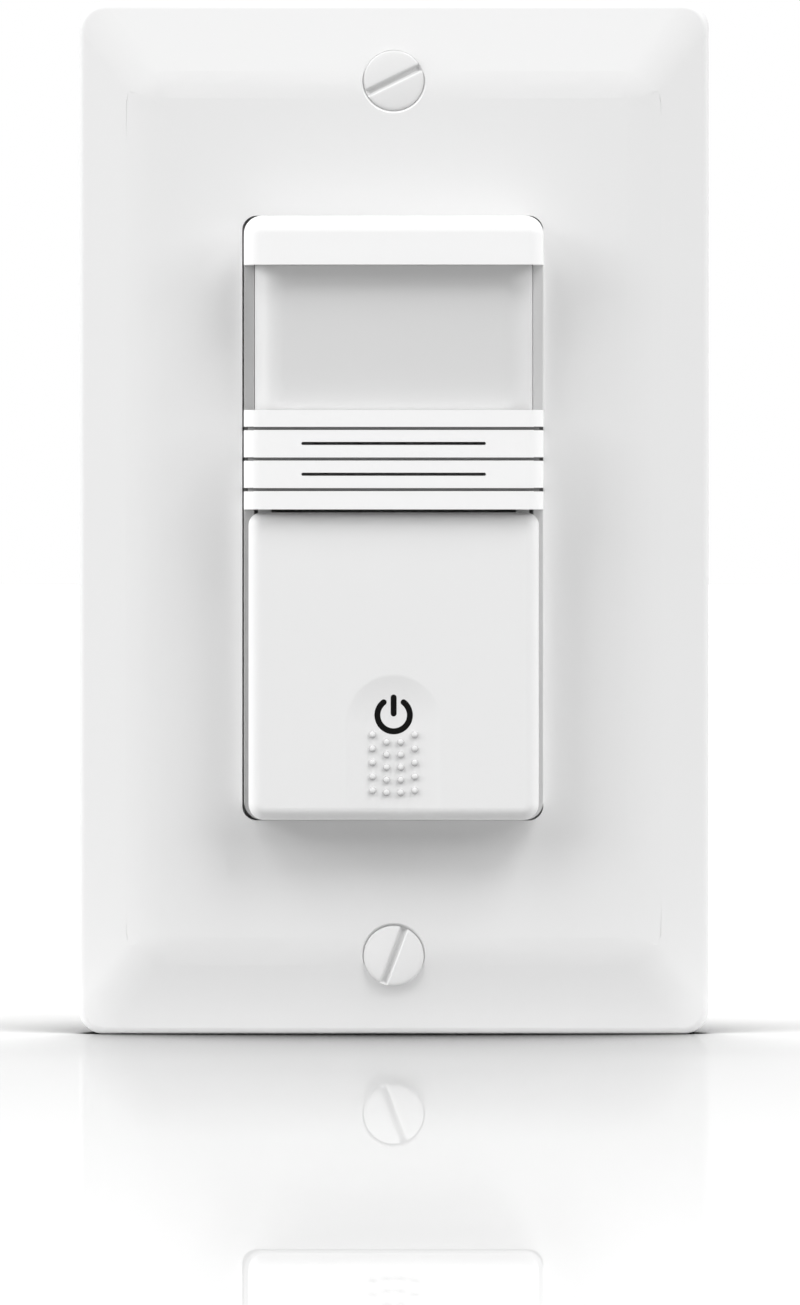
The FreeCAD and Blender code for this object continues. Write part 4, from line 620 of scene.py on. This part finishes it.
def slotted_head(radius, front, back, slot_width, slot_depth, softness):
    """A round head with a driver slot along its own Z: loops at rows of x, from edge to edge.

    front and back give heights for distances from the middle. The slot lowers the front by its
    depth, with a smooth step of the given softness at each side of its width, and leaves at least
    a thin share of the radius above the back.
    """
    half_slot = slot_width / 2
    shoulder = half_slot + softness
    outward = np.cos(np.linspace(0.0, math.pi / 2, BESIDE_ROWS))
    beside = shoulder + (radius - shoulder) * outward
    wall = np.linspace(shoulder, half_slot - softness, WALL_ROWS)[1:]
    inside = np.linspace(half_slot - softness, 0.0, FLOOR_ROWS)[1:]
    right = np.concatenate((beside, wall, inside))
    x = np.concatenate((right, -right[-2::-1]))
    half_chord = np.sqrt(np.maximum(radius ** 2 - x ** 2, 0.0))
    across = np.sin(np.linspace(-math.pi / 2, math.pi / 2, ACROSS_POINTS))
    z = half_chord[:, None] * across
    distance = np.minimum(np.sqrt(x[:, None] ** 2 + z ** 2), radius)
    step = np.clip((shoulder - np.abs(x)) / (2 * softness), 0.0, 1.0)
    lowered = slot_depth * step ** 2 * (3 - 2 * step)
    under = back(distance)
    thinnest = under + radius * THINNEST_SHARE * (distance < radius)
    top = np.maximum(front(distance) - lowered[:, None], thinnest)
    loop_x = np.repeat(x[:, None], 2 * len(across) - 2, axis=1)
    loop_z = np.concatenate((z, z[:, -2:0:-1]), axis=1)
    height = np.concatenate((top, under[:, -2:0:-1]), axis=1)
    points = np.stack((loop_x, -height, loop_z), axis=-1)
    return points.reshape(-1, 3), rolled_faces(len(x), loop_x.shape[1])


def threaded_shank(start, neck_end, end, neck):
    """A screw's shank along +Y: a neck, then a thread whose radius falls and rises along a helix.

    The radius is the crest less the thread's depth times a wave with flat tops and hollows, and the
    wave's phase is the distance over the pitch less the share of a turn. The depth fades out at
    both ends.
    """
    turn = np.linspace(0.0, 2 * math.pi, THREAD_SIDES, endpoint=False)
    count = int((end - neck_end) / THREAD_PITCH * THREAD_ROWS)
    y = np.linspace(neck_end, end - SCREW_RADIUS / 2, count)
    phase = y[:, None] / THREAD_PITCH - turn / (2 * math.pi)
    rise = THREAD_STEEPNESS * np.abs(2 * (phase % 1.0) - 1.0) - THREAD_FLAT
    wave = np.clip(rise, 0.0, 1.0)
    fade = np.clip(np.minimum(y - neck_end, end - y) / THREAD_PITCH, 0.0, 1.0)[:, None]
    thread = SCREW_RADIUS - THREAD_DEPTH * wave * fade
    neck_y, tip_y = (start, start, neck_end - (SCREW_RADIUS - neck)), (end, end)
    neck_radii, tip_radii = (0.0, neck, neck), (SCREW_RADIUS / 2, 0.0)
    around = np.ones(THREAD_SIDES)
    rows = np.outer(np.concatenate((neck_y, y, tip_y)), around)
    radius = np.vstack((np.outer(neck_radii, around), thread, np.outer(tip_radii, around)))
    points = np.stack((radius * np.cos(turn), rows, radius * np.sin(turn)), axis=-1)
    return points.reshape(-1, 3), turned_over(rolled_faces(len(rows), THREAD_SIDES))


def moved(points, turn, height, z):
    """Points turned about Y by an angle in degrees, then put at a height above the wall and a z."""
    angle = math.radians(turn)
    x = points[:, 0] * math.cos(angle) + points[:, 2] * math.sin(angle)
    up = points[:, 2] * math.cos(angle) - points[:, 0] * math.sin(angle)
    return np.stack((x, points[:, 1] - height, up + z), axis=1)


def plate_screws():
    """Two raised countersunk screws whose rims and slots are softened by paint.

    The front is the crown times 1 - share squared, less the rim's drop times share to the power 24,
    with the share of the head's radius as its one measure. Painted grey shade follows the same power
    at the rim and covers the slot from half way up its sides, kept as an attribute of the points.
    """
    slope = (OVAL_CONE - OVAL_RIM) / (OVAL_RADIUS - SCREW_RADIUS)

    def front(distance):
        share = distance / OVAL_RADIUS
        return OVAL_CROWN * (1 - share ** 2) - OVAL_RIM * share ** RIM_POWER

    def back(distance):
        return -OVAL_RIM - np.minimum((OVAL_RADIUS - distance) * slope, OVAL_CONE - OVAL_RIM)

    slot = PAINTED_SLOT_WIDTH, PAINTED_SLOT_DEPTH, PAINTED_SLOT_EDGE
    head = slotted_head(OVAL_RADIUS, front, back, *slot)
    reach = OVAL_FRONT + PLATE_SCREW_END
    shank = threaded_shank(OVAL_SHANK_START, OVAL_CONE + SCREW_RADIUS, reach, SCREW_RADIUS)
    points, faces = joined((head, shank))
    rim = np.minimum(np.hypot(points[:, 0], points[:, 2]) / OVAL_RADIUS, 1.0) ** RIM_POWER
    into_slot = PAINTED_SLOT_WIDTH / 2 + PAINTED_SLOT_EDGE - np.abs(points[:, 0])
    in_slot = np.clip(into_slot / PAINTED_SLOT_EDGE, 0.0, 1.0)
    dust = np.maximum(RIM_SHADE * rim, SLOT_SHADE * in_slot)
    paint = FINISHES["screw_paint"]
    for name, (z, turn) in PLATE_SCREWS.items():
        placed = moved(points, turn, OVAL_FRONT, z)
        piece = add_piece("slotted_" + name, placed, faces, SWITCH, "screw_paint", paint, dust=dust)
        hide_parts(name)


def box_screws():
    """The two screws for the wall box, their heads on the yoke and their threads behind it."""
    edge = BOX_HEAD_HEIGHT / 2
    flat = BOX_HEAD_RADIUS - edge

    def front(distance):
        drop = np.maximum(distance - flat, 0.0)
        return BOX_HEAD_HEIGHT - edge + np.sqrt(np.maximum(edge ** 2 - drop ** 2, 0.0))

    slot = BOX_SLOT_WIDTH, BOX_SLOT_DEPTH, BOX_SLOT_EDGE
    head = slotted_head(BOX_HEAD_RADIUS, front, np.zeros_like, *slot)
    neck_end = YOKE_FRONT + BOX_NECK_END + BOX_NECK_SLOPE
    shank = threaded_shank(-edge / 2, neck_end, YOKE_FRONT + BOX_SCREW_END, BOX_NECK_RADIUS)
    screw, faces = joined((head, shank))
    places = (BOX_SCREW_PLACE, -BOX_SCREW_PLACE)
    points, faces = joined([(moved(screw, 0.0, YOKE_FRONT, z), faces) for z in places])
    zinc = FINISHES["zinc_steel"]
    piece = add_piece("threaded_box_screws", points, faces, SWITCH, "zinc_steel", zinc)
    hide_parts("box_screws")


plate_screws()
box_screws()


# the studio

FLOOR_REACH = 8.0
# seen floor paint, paler towards the back, which paints light over the lamps' shadows behind the
# plate
FLOOR_FRONT, FLOOR_BACK, FRONT_END, BACK_START = 0.8, 1.5, -50.0 * MM, 60.0 * MM
FLOOR_BOUNCE, NEAR_BOUNCE, BOUNCE_END, BOUNCE_START = 0.4, 0.7, -24.0 * MM, -4.0 * MM
# painted contact shadow: how far the hidden sky is sought and how strongly it greys the seen paint
CONTACT_REACH, CONTACT_STRENGTH, CONTACT_SAMPLES = 80.0 * MM, 1.85, 16
MIRROR_REACH, MIRROR_FAR, MIRROR_NEAR = 600.0 * MM, 0.24, 0.62
SKY_LIGHT, LAMP_SPREAD = 0.15, 28
# each lamp's azimuth and elevation in degrees, and its strength
LAMPS = {
    "left": (-60, 27, 0.94),
    "right": (60, 27, 0.79),
    "high_left": (-48, 54, 0.98),
    "high_right": (48, 55, 1.6),
    "far_left": (-85, 15, 1.1),
    "far_right": (85, 15, 0.35),
    "behind": (180, 42, 1.7),
}


def depth_range(tree, front, back, at_front, at_back):
    """A value that changes smoothly with Y, from one at the front to another at the back."""
    place = add(tree, "ShaderNodeSeparateXYZ")
    feed(tree, object_place(tree), place.inputs[0])
    slope = add(
        tree, "ShaderNodeMapRange", interpolation_type="SMOOTHSTEP", From_Min=front, From_Max=back,
        To_Min=at_front, To_Max=at_back,
    )
    feed(tree, place.outputs["Y"], slope.inputs["Value"])
    return slope.outputs["Result"]


def seen_rays(tree):
    """One for rays that show a surface, straight, in gloss or through glass, and zero for others."""
    rays = add(tree, "ShaderNodeLightPath")
    seen = math_node(tree, "MAXIMUM", rays.outputs["Is Camera Ray"], rays.outputs["Is Glossy Ray"])
    return math_node(tree, "MAXIMUM", seen, rays.outputs["Is Transmission Ray"])


def floor():
    """A wide white floor just under the plate's lower edge.

    Light that bounces to the object finds it grey, and paler from just in front of the plate
    backwards. Seen, it is white paint that grows paler towards the back, which paints light over the
    lamps' shadows there, and goes grey by the share of the sky that the object hides close by, which
    paints a contact shadow; over it lies a clear mirror image that fades towards the viewer.
    """
    level = CAD_BOX[0][2]
    mesh = bpy.data.meshes.new("floor")
    sides = ((-1, -1), (1, -1), (1, 1), (-1, 1))
    corners = [(x * FLOOR_REACH, y * FLOOR_REACH, level) for x, y in sides]
    mesh.from_pydata(corners, [], [(0, 1, 2, 3)])
    piece = bpy.data.objects.new("floor", mesh)
    bpy.context.scene.collection.objects.link(piece)
    material = bpy.data.materials.new("white_floor")
    material.use_nodes = True
    tree = material.node_tree
    tree.nodes.remove(tree.nodes["Principled BSDF"])
    seen = seen_rays(tree)
    near = add(
        tree, "ShaderNodeAmbientOcclusion", samples=CONTACT_SAMPLES, Distance=CONTACT_REACH,
    )
    hidden = math_node(tree, "SUBTRACT", 1.0, near.outputs["AO"])
    shade = math_node(tree, "MULTIPLY", hidden, CONTACT_STRENGTH)
    open_share = math_node(tree, "MAXIMUM", math_node(tree, "SUBTRACT", 1.0, shade), 0.0)
    tone = depth_range(tree, FRONT_END, BACK_START, FLOOR_FRONT, FLOOR_BACK)
    seen_paint_with_shadow = math_node(tree, "MULTIPLY", open_share, tone)
    paint = add(tree, "ShaderNodeBsdfDiffuse")
    bounce = depth_range(tree, BOUNCE_END, BOUNCE_START, FLOOR_BOUNCE, NEAR_BOUNCE)
    feed(tree, between(tree, seen, bounce, seen_paint_with_shadow), paint.inputs["Color"])
    mirror = add(tree, "ShaderNodeBsdfAnisotropic", Roughness=0.0)
    fade = depth_range(tree, -MIRROR_REACH, 0.0, MIRROR_FAR, MIRROR_NEAR)
    share = math_node(tree, "MULTIPLY", fade, open_share)
    mixed = add(tree, "ShaderNodeMixShader")
    feed(tree, math_node(tree, "MULTIPLY", share, seen), mixed.inputs[0])
    feed(tree, paint.outputs[0], mixed.inputs[1])
    feed(tree, mirror.outputs[0], mixed.inputs[2])
    feed(tree, mixed.outputs[0], tree.nodes["Material Output"].inputs["Surface"])
    mesh.materials.append(material)


def sky():
    """White where it is seen or mirrored, and a soft dome of light elsewhere."""
    world = bpy.data.worlds.new("white_room")
    world.use_nodes = True
    bpy.context.scene.world = world
    tree = world.node_tree
    background = tree.nodes["Background"]
    background.inputs["Color"].default_value = (1.0, 1.0, 1.0, 1.0)
    feed(tree, between(tree, seen_rays(tree), SKY_LIGHT, 1.0), background.inputs["Strength"])


def soft_lamp(name, azimuth, elevation, strength):
    """A far, wide lamp, placed by its direction as seen from the object, in degrees."""
    data = bpy.data.lights.new(name, "SUN")
    data.angle = math.radians(LAMP_SPREAD)
    data.energy = strength
    lamp = bpy.data.objects.new(name, data)
    lamp.rotation_euler = (math.radians(90 - elevation), 0.0, math.radians(azimuth))
    bpy.context.scene.collection.objects.link(lamp)


floor()
sky()
for lamp_name, (azimuth, elevation, strength) in LAMPS.items():
    soft_lamp(lamp_name, azimuth, elevation, strength)

scene = bpy.context.scene
scene.view_settings.view_transform = "Standard"
